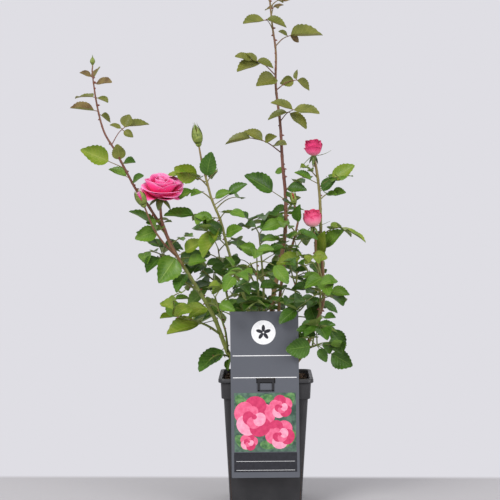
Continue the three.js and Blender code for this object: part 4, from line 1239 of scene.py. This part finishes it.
# round gaps in the crown where the photograph shows what is behind it: x, z and radius
skyGaps = [
    (150, 350, 26), (134, 395, 28), (128, 362, 22), (132, 300, 18), (114, 276, 9), (142, 256, 12),
    (122, 206, 22), (150, 492, 22), (-199, 454, 8), (39, 541, 12), (98, 545, 12), (-38, 386, 11),
    (-16, 386, 10), (8, 388, 8), (-82, 396, 9), (-198, 402, 9), (6, 489, 12), (141, 243, 8), (122, 282, 8),
    (108, 462, 15), (62, 484, 9), (-192, 298, 22), (-196, 312, 14), (-182, 322, 14), (-204, 366, 16),
    (-120, 234, 24), (-60, 482, 10), (-20, 492, 12), (-52, 535, 14), (-64, 520, 9), (-106, 395, 5),
]
shownCane = {"name": "cane_left", "heights": (270, 395), "half": 7}


def hidesCane(point):
    # the long left cane shows in front of the leaves
    low, high = shownCane["heights"]
    spot = pointAtHeight(lines[shownCane["name"]], point.z)
    return low < point.z < high and point.y < spot.y and abs(point.x - spot.x) < shownCane["half"]


def isClear(point, mass):
    # a leaf may reach a little into its neighbour's space, keeps off the canes and leaves the sky gaps open
    if hidesCane(point) or any(math.hypot(point.x - x, point.z - z) < reach for x, z, reach in skyGaps):
        return False
    border = distanceToMass(point, mass) - leafRule["overlap"]
    if border > 0 and isCloser(point, mass, border):
        return False
    return isOffCanes(point, space["leafGap"])


# limbs that leaves and twigs keep off, coarsely drawn, with their thickest radius
obstacles = [(smoothLine(points, 2), ends[0]) for bark, ends, points in canes.values()]
obstacles.append((smoothLine(stem["points"], 2), 17))
for mass in masses.values():
    mass["coarse"], mass["twigLines"] = mass["line"][::5], []


# twigs of bushy masses, in mm and degrees: where they grow, as shares of the stem, and the leaves on them
twigRule = {
    "from": 0.15,
    "over": 0.7,
    "turnBack": 60,
    "swing": (-0.3, 0.3),  # in radians
    "climb": (0.4, 0.9),
    "length": (38, 54),
    "lift": 8,
    "radii": (1.6, 1.0),
    "knots": (0.42, 0.72, 0.98),
    "leafTurn": 1.9,  # in radians
    "leafRise": 30,
    "leafSize": 0.88,
}


def planTwigs(mass):
    # the source's twigs of a bushy mass, a golden angle apart, where there is room for them
    dice = makeDice(mass["seed"] + 1)
    total = lengthOf(mass["line"])
    for k in range(mass.get("twigs", 0)):
        foot = pointAt(mass["line"], total * (twigRule["from"] + twigRule["over"] * k / mass["twigs"]))
        heading = math.radians(mass["turn"] - twigRule["turnBack"]) + goldenTurn * k
        heading += dice(*twigRule["swing"])
        out = Vector((math.cos(heading), math.sin(heading), dice(*twigRule["climb"]))).normalized()
        long = dice(*twigRule["length"])
        middle, end = foot + out * long * 0.5, foot + out * long + upward * twigRule["lift"]
        if isFree(middle, mass) and isFree(end, mass):
            mass["twigLines"].append([foot, middle, end])


def keepLeaflet(name, pattern, item, tone):
    # one copy of a pattern with the tone of its upper side and the underside's that goes with it
    long = item["length"]
    under = "youngUnder" if tone in youngTones else "under"
    turn = Matrix((item["along"] * long, item["across"] * long, item["face"] * long)).transposed()
    dealt = {0: toneNames.index(tone), 1: toneNames.index(under)}
    leaflets[name].append((pattern, turn, item["foot"] + item["along"], dealt))


def pickPattern(patternDice):
    return leafletPatterns[int(patternDice(0, 2.999))]


def addLeaf(name, plan, tone, bushy, patternDice):
    # keeps the leaflets that have room, and the stalk up to the last of them
    place, made = plan
    if not all(isOpen(place(share), bushy) for share in (0.4, 0.7, 1)):
        return
    kept = []
    for item in made:
        pattern, long = pickPattern(patternDice), item["length"]
        probes = [
            item["foot"] + item["along"] * long * share + item["across"] * long * wide
            for share, wide in leafRule["probes"]
        ]
        if all(isOpen(probe, bushy) and isClear(probe, masses[name]) for probe in probes):
            kept.append((pattern, item))
    if not kept:
        return
    last = kept[-1][1]["share"]
    stalk = [place(last * k / 7) for k in range(8)]
    bark = "red" if tone in youngTones else "twig"
    stalks.append((stalk, [1.15 - 0.6 * k / 7 for k in range(8)], barkNames.index(bark)))
    for pattern, item in kept:
        keepLeaflet(name, pattern, item, tone)


def toneOf(mass, share, patternDice):
    # upright stems change their tone with the height, bushy ones are mixed
    tones = mass["tones"]
    if "nodes" in mass:
        k = share * (len(tones) - 0.01) + patternDice(-0.5, 0.5)
    else:
        k = patternDice(0, len(tones) - 0.01)
    return tones[max(0, min(len(tones) - 1, int(k)))]


def addBushyLeaf(name, foot, turn, rise, size, dice, patternDice):
    plan = planLeaf(foot, turn, math.radians(rise), size, dice, 2)
    addLeaf(name, plan, toneOf(masses[name], 0, patternDice), True, patternDice)


def growMass(name, mass):
    # leaves at their nodes on an upright stem, or in steps up a bushy one and along its twigs
    dice, patternDice = makeDice(mass["seed"]), makeDice(mass["seed"] + 7)
    line, rises = mass["line"], leafRule["rises"]
    total = lengthOf(line)
    knots = []
    if "nodes" in mass:
        low, high = line[0].z, line[-1].z
        first, last = mass.get("oneByOne", (0, 0))
        for height, turn, size in mass["nodes"]:
            foot = pointAtHeight(line, height)
            knots.append(sum((b - a).length for a, b in zip(line, line[1:]) if b.z <= foot.z))
            rise, pairs = (rises["small"], 1) if size < leafRule["smallSize"] else (rises["upright"], 2)
            plan = planLeaf(foot, math.radians(turn), math.radians(rise), size, dice, pairs)
            tone = toneOf(mass, (height - low) / (high - low), patternDice)
            if not first < height < last:
                addLeaf(name, plan, tone, False, patternDice)
    else:
        turn, way = math.radians(mass["turn"]), mass["step"]
        while way < total - 2:
            knots.append(way)
            rise = rises["low"] + (rises["high"] - rises["low"]) * way / total
            addBushyLeaf(name, pointAt(line, way), turn, rise, mass["size"], dice, patternDice)
            turn += goldenTurn
            way += mass["step"]
        tip, size = pointAt(line, total * 0.99), mass["size"] * leafRule["topSize"]
        addBushyLeaf(name, tip, turn, rises["top"], size, dice, patternDice)
        growTwigs(name, mass, dice, patternDice)
    fine = finely(line)
    twigs.append((fine, radiiAlong(fine, mass["radii"], knots), barkNames.index(mass["bark"])))
    addPrickles(line, mass["radii"], prickle["spacing"][mass["bark"]], mass["seed"] + 11)


def growTwigs(name, mass, dice, patternDice):
    for foot, middle, end in mass["twigLines"]:
        line = smoothLine([foot, middle, end], 6)
        twigs.append((line, radiiAlong(line, twigRule["radii"]), barkNames.index("twig")))
        heading = math.atan2(end.y - foot.y, end.x - foot.x)
        for j, share in enumerate(twigRule["knots"]):
            spot, turn = pointAt(line, share * lengthOf(line)), heading + (j - 1) * twigRule["leafTurn"]
            size = mass["size"] * twigRule["leafSize"]
            addBushyLeaf(name, spot, turn, twigRule["leafRise"], size, dice, patternDice)


# Blossom: where it grows, its foot and axis, the hip's radius, the petals' tone and belly and how loose they
# lie; rings of petals from outside in: count, reach, height, how far they close, roll of their lips, shift;
# sepals: heading, bend from the axis, length, half width and how far the tip bends on

blooms = {
    "bloom_large": {
        "on": "foliage_left_bloom", "foot": (-169, -27, 481), "axis": (0.1, -0.38, 1),
        "hip": 6, "tone": "large", "belly": 1.2, "loose": 1.2,
        "rings": [
            (4, 32, 13, 0.5, 8, 0.5), (3, 32, 21, 0.5, 10, 1.6), (3, 29, 29, 0.53, 9, 0.5),
            (3, 24, 35, 0.56, 7, 1.5), (3, 17, 38, 0.6, 4, 0.7), (3, 10, 39, 0.64, 2, 0.0),
            (2, 5, 38, 0.6, 0.6, 0.9),
        ],
        "sepals": [
            (200, 108, 22, 6, 0.5), (-30, 106, 24, 6, 0.45), (-95, 120, 20, 6.5, 0.5), (50, 96, 24, 5, 0.3),
            (125, 92, 24, 5, 0.4),
        ],
    },
    "bloom_right_upper": {
        "on": "foliage_right_upper", "foot": (77, -10, 551), "axis": (-0.05, -0.12, 1),
        "hip": 4.3, "tone": "small", "belly": 1.6,
        "rings": [
            (3, 13.5, 17, 0.64, 3.2, 0.0), (3, 14, 22, 0.66, 2.6, 1.0), (3, 13, 25, 0.68, 2, 0.4),
            (3, 10, 26.5, 0.68, 1.4, 1.2), (3, 6, 26, 0.64, 0.8, 0.3),
        ],
        "sepals": [
            (182, 126, 31, 3.8, 0.15), (0, 92, 27, 2.2, -0.3), (255, 148, 20, 2.6, 0.2),
            (110, 122, 24, 3, 0.1), (55, 140, 18, 2.6, 0.2),
        ],
    },
    "bloom_right_lower": {
        "on": "cane_right_fork", "foot": (75, -32, 438), "axis": (-0.06, -0.16, 1),
        "hip": 4, "tone": "pale", "belly": 1.75,
        "rings": [
            (3, 14.5, 21, 0.66, 1.8, 0.3), (3, 15, 25, 0.68, 2.2, 1.3), (3, 13, 27, 0.68, 1.6, 0.7),
            (3, 8, 28, 0.68, 1, 1.5), (3, 4.5, 27, 0.62, 0.5, 0.4),
        ],
        "sepals": [
            (190, 128, 24, 1.9, 0.1), (5, 84, 27, 1.8, -0.15), (-60, 112, 17, 2.6, 0.3),
            (100, 122, 20, 2.6, 0.2), (250, 130, 15, 2.4, 0.2),
        ],
    },
}

# Buds: width, height and sepals in mm, how far the sepals open in degrees, and how much petal shows

buds = {
    "bud_left": {
        "from": (-142, -20, 395), "stalk": [(-158, -44, 413), (-176, -62, 440), (-190, -72, 475)],
        "tone": "large", "width": 16, "height": 27, "sepal": 27, "open": 8, "show": 0.5,
    },
    "bud_centre_left": {
        "on": "foliage_centre_left", "bark": "twig", "stalk": [(-106.5, -28, 571)],
        "width": 15.5, "height": 29, "sepal": 38, "open": 2, "show": 0.12,
    },
    "bud_inner_right": {
        "on": "foliage_inner_right", "stalk": [(46, -33, 477)],
        "width": 9, "height": 21, "sepal": 24, "open": 10, "show": 0.6,
    },
    "bud_leader": {
        "on": "foliage_left_leader", "stalk": [(-277, -18, 701.5)],
        "width": 7.5, "height": 10, "sepal": 16, "open": 0, "show": 0.1,
    },
}
sceneOnly = ("bud_leader",)  # this small bud has no solid of its own


def standOn(foot, axis):
    turn = upward.rotation_difference(Vector(axis).normalized()).to_matrix().to_4x4()
    return Matrix.Translation(foot) @ turn


def addBentSheet(bm, place, columns, rows, thickness, bend):
    # a grid bent by a rule of its width u (-1 to 1) and length v (0 to 1), then thickened and put in place
    made = bmesh.ops.create_grid(bm, x_segments=columns, y_segments=rows, size=1, calc_uvs=True)["verts"]
    faces = {f for v in made for f in v.link_faces}
    for vert in made:
        vert.co = Vector(bend(vert.co.x, (vert.co.y + 1) / 2))
    made = bmesh.ops.solidify(bm, geom=list(faces), thickness=thickness)
    skins = faces | {g for g in made["geom"] if isinstance(g, bmesh.types.BMFace)}
    bmesh.ops.transform(bm, matrix=place, verts=list({v for f in skins for v in f.verts}))


def addPetal(bm, place, turn, spread, reach, height, closing, curl, belly, shape, thickness):
    # one petal: bent to a cup, with a rolled, ruffled lip and its corners turned back
    ruffle, phase, skew = shape
    peak = math.sin(min(1, closing * 2) * math.pi / 2)

    def bend(u, v):
        rise = v * (1 - 0.14 * abs(u) ** 3)
        angle = turn + u * spread * (0.45 + 0.55 * min(1, rise * 1.5)) * (1 - 0.1 * rise**4)
        roll = max(0.0, rise - 0.66) / 0.34
        cup = (reach - 1.2) * math.sin(rise * closing * math.pi) / peak
        out = 1.2 + cup + curl * roll**1.7 * (1 + 0.5 * abs(u) ** 3)
        tall = height * rise**belly - curl * 0.75 * roll**2 * (0.6 + 0.7 * u * u)
        tall += ruffle * math.sin(u * 3.6 + phase) * rise**3
        out += ruffle * 0.8 * math.cos(u * 4.4 + phase * 1.7) * rise**3 + skew * u * rise
        return math.cos(angle) * out, math.sin(angle) * out, tall

    addBentSheet(bm, place, 8, 7, thickness, bend)


def addSepal(bm, place, turn, bendFrom, length, wide, radius, lift, bendOn):
    # one open sepal: a narrow pointed leaf that bends away from the axis
    def bend(u, v):
        lean = math.radians(bendFrom) + bendOn * v
        swell = math.sin(math.pi * min(1.0, 0.16 + 0.84 * v)) ** 0.8 if v < 0.999 else 0.05
        half = wide * swell * (1 - 0.45 * v)
        out = radius + length * v * math.sin(lean)
        high = lift + length * v * math.cos(lean) - abs(u) * half * 0.25
        side = u * half
        x, y = math.cos(turn) * out - math.sin(turn) * side, math.sin(turn) * out + math.cos(turn) * side
        return x, y, high

    addBentSheet(bm, place, 2, 8, 0.35, bend)


def addBudSepal(bm, place, turn, lean, hip, k, bud):
    # one sepal closed round a bud, its tip free of it
    wide, high = bud["width"], bud["height"]
    fullness = 0.72 if bud["show"] > 0.2 else 0.95

    def bend(u, v):
        along = v * bud["sepal"]
        body = math.sin(math.pi * min(1.0, along / high * 0.72 + 0.12) ** 0.75) if along < high * 1.1 else 0.0
        hug = wide * 0.5 * max(0.06, body) * (1 + 0.02 * k) + 0.25
        hug += math.sin(math.radians(max(lean, 0))) * max(0.0, along - high * bud["show"] * 0.5) * 0.8
        angle = turn + u * ((1 - v) ** 0.7 * fullness + 0.03)
        return math.cos(angle) * hug, math.sin(angle) * hug, hip * 1.2 + along * 0.9

    addBentSheet(bm, place, 4, 9, 0.3, bend)


def addLathe(bm, place, profile):
    # an upright profile of (radius, height) spun round the axis, as the first shape of its bmesh
    verts = [bm.verts.new((radius, 0, high)) for radius, high in profile]
    edges = [bm.edges.new(pair) for pair in zip(verts, verts[1:])]
    bmesh.ops.spin(
        bm, geom=verts + edges, cent=(0, 0, 0), axis=(0, 0, 1), dvec=(0, 0, 0), angle=math.tau, steps=12,
        use_merge=True,
    )
    bmesh.ops.transform(bm, matrix=place, verts=bm.verts[:])


def scaledPiece(bm, name, material, nodes=()):
    # millimetres made metres, with the normals outwards
    bmesh.ops.remove_doubles(bm, verts=bm.verts[:], dist=0.01)
    bmesh.ops.recalc_face_normals(bm, faces=bm.faces)
    bmesh.ops.scale(bm, vec=(mm, mm, mm), verts=bm.verts)
    return finishPiece(newObject(name, meshFrom(bm, name), [material]), nodes)


def newPetals():
    bm = bmesh.new()
    bm.loops.layers.uv.new("leafMap")
    return bm


# a bloom's petals: depth of the ruffles to the reach, thickness, and what the dice choose from: width to
# an even share of the ring, ruffles, turn, skew, how much narrower and lower, and curl
petalRule = {
    "ruffle": 0.075,
    "thickness": 0.45,
    "overlap": (1.2, 1.45),
    "ruffles": (0.5, 1.1),
    "turn": (-0.2, 0.2),
    "skew": (-0.05, 0.05),
    "narrower": (0, 0.08),
    "lower": (-0.03, 0.1),
    "curls": (0.5, 1.2),
}


def makeBloom(name, bloom):
    place = standOn(bloom["foot"], bloom["axis"])
    dice = makeDice(len(name) * 17)
    bm = newPetals()
    hip, belly, widest = bloom["hip"], bloom["belly"], bloom["rings"][0][1]
    lifted = place @ Matrix.Translation((0, 0, hip * 1.5))
    for count, reach, height, closing, curl, shift in bloom["rings"]:
        loose = 1 + bloom.get("loose", 0) * (reach / widest) ** 2
        for k in range(count):
            turn = shift + math.tau * k / count + dice(*petalRule["turn"]) * loose
            spread = math.pi / count * dice(*petalRule["overlap"])
            ruffle = dice(*petalRule["ruffles"]) * reach * petalRule["ruffle"] * loose
            shape = (ruffle, dice(0, 6.28), dice(*petalRule["skew"]) * reach * loose)
            wide = reach * (1 - dice(*petalRule["narrower"]) * loose)
            tall = height * (1 - dice(*petalRule["lower"]) * loose)
            roll, thick = curl * dice(*petalRule["curls"]), petalRule["thickness"]
            addPetal(bm, lifted, turn, spread, wide, tall, closing, roll, belly, shape, thick)
    piece = scaledPiece(bm, name + "_petals", petalTones[bloom["tone"]], [name])
    subdivision = piece.modifiers.new("smooth", "SUBSURF")
    subdivision.levels = subdivision.render_levels = 1
    # hip, sepals and stalk
    bm = bmesh.new()
    profile = [(0, -2), (0.42, -1.9), (0.56, -0.8), (0.86, 0.4), (1, 1.1), (0.8, 1.7), (0, 1.9)]
    addLathe(bm, place, [(radius * hip, high * hip) for radius, high in profile])
    for turn, bendFrom, long, wide, bendOn in bloom["sepals"]:
        addSepal(bm, place, math.radians(turn), bendFrom, long, wide, hip * 0.6, hip * 1.6, bendOn)
    scaledPiece(bm, name + "_calyx", openSepal, [name])
    line = smoothLine([lineNamed(bloom["on"])[-1], bloom["foot"], place @ Vector((0, 0, hip))], 5)
    radius = radiusNamed(bloom["on"])
    twigs.append((line, radiiAlong(line, (radius, radius)), barkNames.index("green")))
    middle = place @ Vector((0, 0, bloom["rings"][2][2] * 0.65 + hip))
    bloomSpaces.append((middle, widest * 0.9))


def makeBud(name, bud):
    start = Vector(bud["from"]) if "from" in bud else lineNamed(bud["on"])[-1]
    line = smoothLine([start, *bud["stalk"]], 6)
    axis = line[-1] - line[-2] if "from" in bud else Vector(bud["stalk"][0]) - start
    place = standOn(line[-1], axis.normalized())
    wide, high = bud["width"], bud["height"]
    lifted = place @ Matrix.Translation((0, 0, high * 0.12))
    dice = makeDice(len(name) * 29)
    bm = newPetals()
    for ring, (reach, tall) in enumerate(((0.42, 0.86), (0.3, 0.88))):
        for k in range(3):
            turn = ring + math.tau * k / 3
            shape = (0.2, dice(0, 6), 0)
            addPetal(bm, lifted, turn, 1.5, wide * reach, high * tall, 0.6, 0.3, 1.2, shape, 0.3)
    for vert in bm.verts:
        # petals close to a point at the tip
        local = place.inverted() @ vert.co
        pinch = 1 - 0.75 * max(0.0, min(1.0, (local.z / high - 0.45) / 0.55)) ** 1.4
        local.x *= pinch
        local.y *= pinch
        vert.co = place @ local
    nodes = [] if name in sceneOnly else [name]
    scaledPiece(bm, name + "_petals", petalTones[bud.get("tone", "bud")], nodes)
    bm = bmesh.new()
    hip = wide * 0.3
    profile = [(0.5, 0), (1, 0.6), (1.1, 1.4), (0.7, 2.0), (0, 2.2)]
    addLathe(bm, place, [(0, -0.3), *[(radius * hip, high * hip) for radius, high in profile]])
    for k in range(5):
        addBudSepal(bm, place, math.tau * k / 5 + 0.4, bud["open"] + dice(-5, 5), hip, k, bud)
    scaledPiece(bm, name + "_sepals", budSepal, nodes)
    radius = radiusNamed(bud["on"]) if "on" in bud else 1.7
    line.append(place @ Vector((0, 0, hip)))
    twigs.append((line, radiiAlong(line, (radius, radius * 0.8)), barkNames.index(bud.get("bark", "red"))))


for name, bloom in blooms.items():
    makeBloom(name, bloom)
for name, bud in buds.items():
    makeBud(name, bud)
print("blossom made")

for name, (bark, ends, points) in canes.items():
    addPrickles(lines[name][4:], ends, prickle["spacing"][bark], len(name) * 13 + 1)
for mass in masses.values():
    planTwigs(mass)
for name, mass in masses.items():
    growMass(name, mass)

# Leaf stalks that show in the photograph: mass, height on it, end
shownStalks = {
    "leader_stalk": ("foliage_left_leader", 574, (-227, 2, 604)),
    "tall_stalk_1": ("foliage_tall", 562, (-24, 32, 587)),
    "tall_stalk_2": ("foliage_tall", 613, (44, -4, 631)),
    "tall_stalk_3": ("foliage_tall", 664, (50, 38, 682)),
    "tall_stalk_4": ("foliage_tall", 688, (-20, 0, 711)),
    "tall_stalk_5": ("foliage_tall", 735, (39, 38, 754)),
    "tall_stalk_6": ("foliage_tall", 761, (0, 6, 777)),
}

# Single leaflets that show there, mass by mass: height on the mass's stem, tip, share of the way that is
# stalk, width to length, tone; a limb or stalk named last carries the leaflet instead, and on a stalk the
# first value is a share of its length
shownLeaves = [
    ("foliage_centre_left", [
        (514, (-145, -34, 537), 0.3, 0.8, "bright"), (520, (-88, -40, 560), 0.1, 0.72, "deep"),
    ]),
    ("foliage_tall", [(486, (-31, -10, 527), 0.33, 0.62, "deep")]),
    ("foliage_centre_left", [
        (478, (-32, -36, 513), 0.45, 0.5, "deep"), (487, (-57, -36, 500), 0.15, 0.5, "green"),
        (457, (-160, -40, 468), 0.46, 0.42, "deep"), (449, (-111, -48, 462), 0.32, 0.6, "green"),
        (430, (-42, -50, 443), 0.1, 0.55, "green"), (430, (-94, -44, 451), 0.12, 0.6, "deep"),
        (447, (-100, -62, 398), 0.2, 0.48, "bright"),
    ]),
    ("foliage_left_mid", [
        (396, (-101, -40, 422), 0.3, 0.6, "bright", "cane_left"),
        (384, (-96, -48, 391), 0.25, 0.62, "green", "cane_left"),
        (440, (-208, -22, 425), 0.2, 0.7, "green", "cane_left_leader"),
        (397, (-169, -44, 356), 0.06, 0.82, "green", "cane_left"),
        (437, (-214, -20, 473), 0.25, 0.3, "deep", "cane_left_leader"),
        (400, (-190, -30, 373), 0.2, 0.6, "deep"), (372, (-142, -50, 343), 0.12, 0.6, "deep", "cane_left"),
    ]),
    ("foliage_left_low", [
        (293, (-156, -52, 277), 0.34, 0.46, "bright", "cane_left"),
        (300, (-157, -50, 325), 0.1, 0.78, "green"),
    ]),
    ("foliage_low_left", [(318, (-121, -48, 301), 0.12, 0.62, "bright", "cane_left")]),
    ("foliage_sprig_left", [
        (249, (-106, -50, 222), 0.12, 0.5, "deep", "cane_left"),
        (234, (-61, -24, 214), 0.12, 0.5, "green", "cane_left"),
    ]),
    ("foliage_tall", [
        (505, (64, 0, 504), 0.1, 0.55, "deep"), (466, (-8, -10, 446), 0.12, 0.55, "deep"),
    ]),
    ("foliage_inner_right", [
        (448, (53, -46, 478), 0.1, 0.62, "deep"), (440, (66, -50, 432), 0.2, 0.5, "deep"),
    ]),
    ("foliage_right_upper", [
        (502, (138, -24, 543), 0.4, 0.62, "bright"), (499, (111, -22, 521), 0.12, 0.66, "deep"),
        (512, (47, -20, 531), 0.3, 0.42, "green"),
        (405, (121, -34, 439), 0.15, 0.5, "green", "cane_right"),
    ]),
    ("foliage_right_mid", [
        (385, (92, -36, 436), 0.25, 0.45, "bright", "cane_right"), (342, (22, -92, 298), 0.6, 0.6, "deep"),
        (345, (131, -60, 338), 0.35, 0.6, "green"),
    ]),
    ("foliage_right_low", [
        (259.5, (34, -96, 253), 0.2, 0.86, "deep"), (259.5, (134, -92, 228), 0.4, 0.82, "deep"),
        (259.5, (94, -92, 236), 0.2, 0.7, "deep"), (259, (125, -84, 262), 0.45, 0.5, "green"),
    ]),
    ("foliage_left_leader", [
        (515, (-198, -40, 526), 0.1, 0.4, "deep"), (521, (-252, -6, 538), 0.15, 0.5, "green"),
        (545, (-208, -44, 547), 0.1, 0.42, "deep"), (550, (-237, -30, 573), 0.0, 0.9, "young"),
        (537, (-292, -46, 566), 0.36, 0.66, "bright"),
        (0.95, (-221, 6, 624), 0.0, 0.9, "young", "leader_stalk"),
        (1, (-190, 22, 612), 0.12, 0.36, "young", "leader_stalk"),
        (0.85, (-248, -12, 608), 0.1, 0.5, "young", "leader_stalk"),
        (0.8, (-214, -10, 588), 0.15, 0.7, "young", "leader_stalk"),
        (624, (-250, 2, 612), 0.15, 0.32, "young"), (628, (-309, -40, 634), 0.12, 0.3, "bronze"),
        (650, (-251, -40, 643), 0.1, 0.3, "young"), (650, (-307, 4, 656), 0.1, 0.3, "young"),
        (672, (-247, -44, 676), 0.15, 0.42, "bronze"), (678, (-269, 0, 701), 0.1, 0.42, "bronze"),
        (682, (-295, -30, 689), 0.1, 0.5, "bronze"),
    ]),
    ("foliage_tall", [
        (1, (-67, 46, 580), 0.0, 0.34, "young", "tall_stalk_1"),
        (0.62, (-35, 30, 599), 0.05, 0.5, "young", "tall_stalk_1"),
        (0.6, (16, 10, 589), 0.0, 0.6, "young", "tall_stalk_1"),
        (0.35, (30, -4, 579), 0.1, 0.3, "young", "tall_stalk_1"),
        (1, (83, -24, 630), 0.0, 0.46, "young", "tall_stalk_2"),
        (1, (10, -16, 644), 0.0, 0.4, "young", "tall_stalk_2"),
        (0.7, (66, -8, 605), 0.05, 0.5, "young", "tall_stalk_2"),
        (0.7, (3, 4, 618), 0.05, 0.36, "young", "tall_stalk_2"),
        (1, (72, 54, 667), 0.0, 0.5, "young", "tall_stalk_3"),
        (1, (50, 44, 699), 0.0, 0.4, "young", "tall_stalk_3"),
        (0.9, (24, 30, 676), 0.0, 0.8, "young", "tall_stalk_3"), (684, (-14, -8, 671), 0.0, 0.66, "young"),
        (0.7, (-45, -22, 695), 0.05, 0.36, "young", "tall_stalk_4"),
        (0.9, (12, 6, 700), 0.0, 0.5, "young", "tall_stalk_4"),
        (0.85, (-28, -6, 722), 0.0, 0.45, "young", "tall_stalk_4"),
        (1, (-46, -20, 718), 0.1, 0.4, "young", "tall_stalk_4"),
        (1, (93, 58, 760), 0.0, 0.32, "young", "tall_stalk_5"),
        (0.9, (22, 24, 760), 0.05, 0.5, "young", "tall_stalk_5"),
        (1, (54, 46, 745), 0.0, 0.66, "bronze", "tall_stalk_5"),
        (0.9, (-35, -18, 771), 0.1, 0.5, "young", "tall_stalk_6"),
        (1, (33, 10, 766), 0.0, 0.36, "young", "tall_stalk_6"),
    ]),
]
single = {"seed": 77, "sway": 8, "turned": 0.88}


def showLeaf(name, height, tip, stalkShare, width, tone, on=None):
    # one leaflet on a straight stalk, turned to the camera as far as it looks wide
    if on in stalkLines:
        foot = pointAt(stalkLines[on], height * lengthOf(stalkLines[on]))
    else:
        foot = pointAtHeight(lineNamed(on or name), height)
    way = Vector(tip) - foot
    start = foot + way * stalkShare
    shown = width / leafRule["width"]
    away = math.acos(min(1.0, shown * single["turned"]))
    roll = -math.copysign(away, way.x) + math.radians(singleDice(-single["sway"], single["sway"]))
    long = way.length * (1 - stalkShare)
    item = leafletFrame(start, way.normalized(), way, 0, 0, roll, long, Vector((0, -1, 0)))
    item["across"] *= max(1.0, shown)
    keepLeaflet(name, pickPattern(singleDice), item, tone)
    stalks.append(([foot, start + item["along"] * 2], [0.8, 0.6], barkNames.index("twig")))


stalkLines = {}
for name, (on, height, end) in shownStalks.items():
    foot, end = pointAtHeight(lineNamed(on), height), Vector(end)
    middle = foot.lerp(end, 0.5) + upward * (end - foot).length * 0.1
    stalkLines[name] = smoothLine([foot, middle, end], 5)
    stalks.append((stalkLines[name], [1.1 - 0.05 * k for k in range(11)], barkNames.index("red")))
singleDice = makeDice(single["seed"])
for name, rows in shownLeaves:
    for row in rows:
        showLeaf(name, *row)

# Pieces of leaves: each stands for the masses it names

regions = {
    "leaves_left": [
        "foliage_left_leader", "foliage_left_bloom", "foliage_left_mid", "foliage_left_low",
        "foliage_sprig_left",
    ],
    "leaves_centre": ["foliage_centre_left", "foliage_low_left", "foliage_centre", "foliage_inner_right"],
    "leaves_tall": ["foliage_tall"],
    "leaves_right": ["foliage_right_upper", "foliage_right_mid", "foliage_right_low"],
    "leaves_back": ["foliage_back_left", "foliage_back", "foliage_back_right"],
}


def markRims(mesh):
    # keeps the shading of a leaf's two skins apart at its rim
    kinds = np.empty(len(mesh.polygons), int)
    counts = np.empty(len(mesh.polygons), int)
    edges = np.empty(len(mesh.loops), int)
    mesh.polygons.foreach_get("material_index", kinds)
    mesh.polygons.foreach_get("loop_total", counts)
    mesh.loops.foreach_get("edge_index", edges)
    underKinds = [toneNames.index("under"), toneNames.index("youngUnder")]
    isTop = np.repeat(~np.isin(kinds, underKinds), counts)
    top, under = [np.bincount(edges[side], minlength=len(mesh.edges)) > 0 for side in (isTop, ~isTop)]
    layer = mesh.attributes.new("sharp_edge", "BOOLEAN", "EDGE")
    layer.data.foreach_set("value", top & under)


for name, members in regions.items():
    placed = [item for member in members for item in leaflets[member]]
    mesh = joinCopies(name, placed)
    finishPiece(newObject(name, mesh, leafTones.values()), members)
    markRims(mesh)
    print(name, len(placed), "leaflets", sum(len(p.vertices) - 2 for p in mesh.polygons), "triangles")

mesh = tubesMesh("twigs", twigs, barks.values(), 2)
addBarkRelief(mesh, caneRule["twigRelief"])
finishPiece(newObject("twigs", mesh), list(masses))
mesh = tubesMesh("leaf_stalks", stalks, barks.values(), 0)
finishPiece(newObject("leaf_stalks", mesh))
mesh = joinCopies("prickles", prickles)
finishPiece(newObject("prickles", mesh, [prickleHorn]))
print("leaves grown")

print("cad box", cadBox)
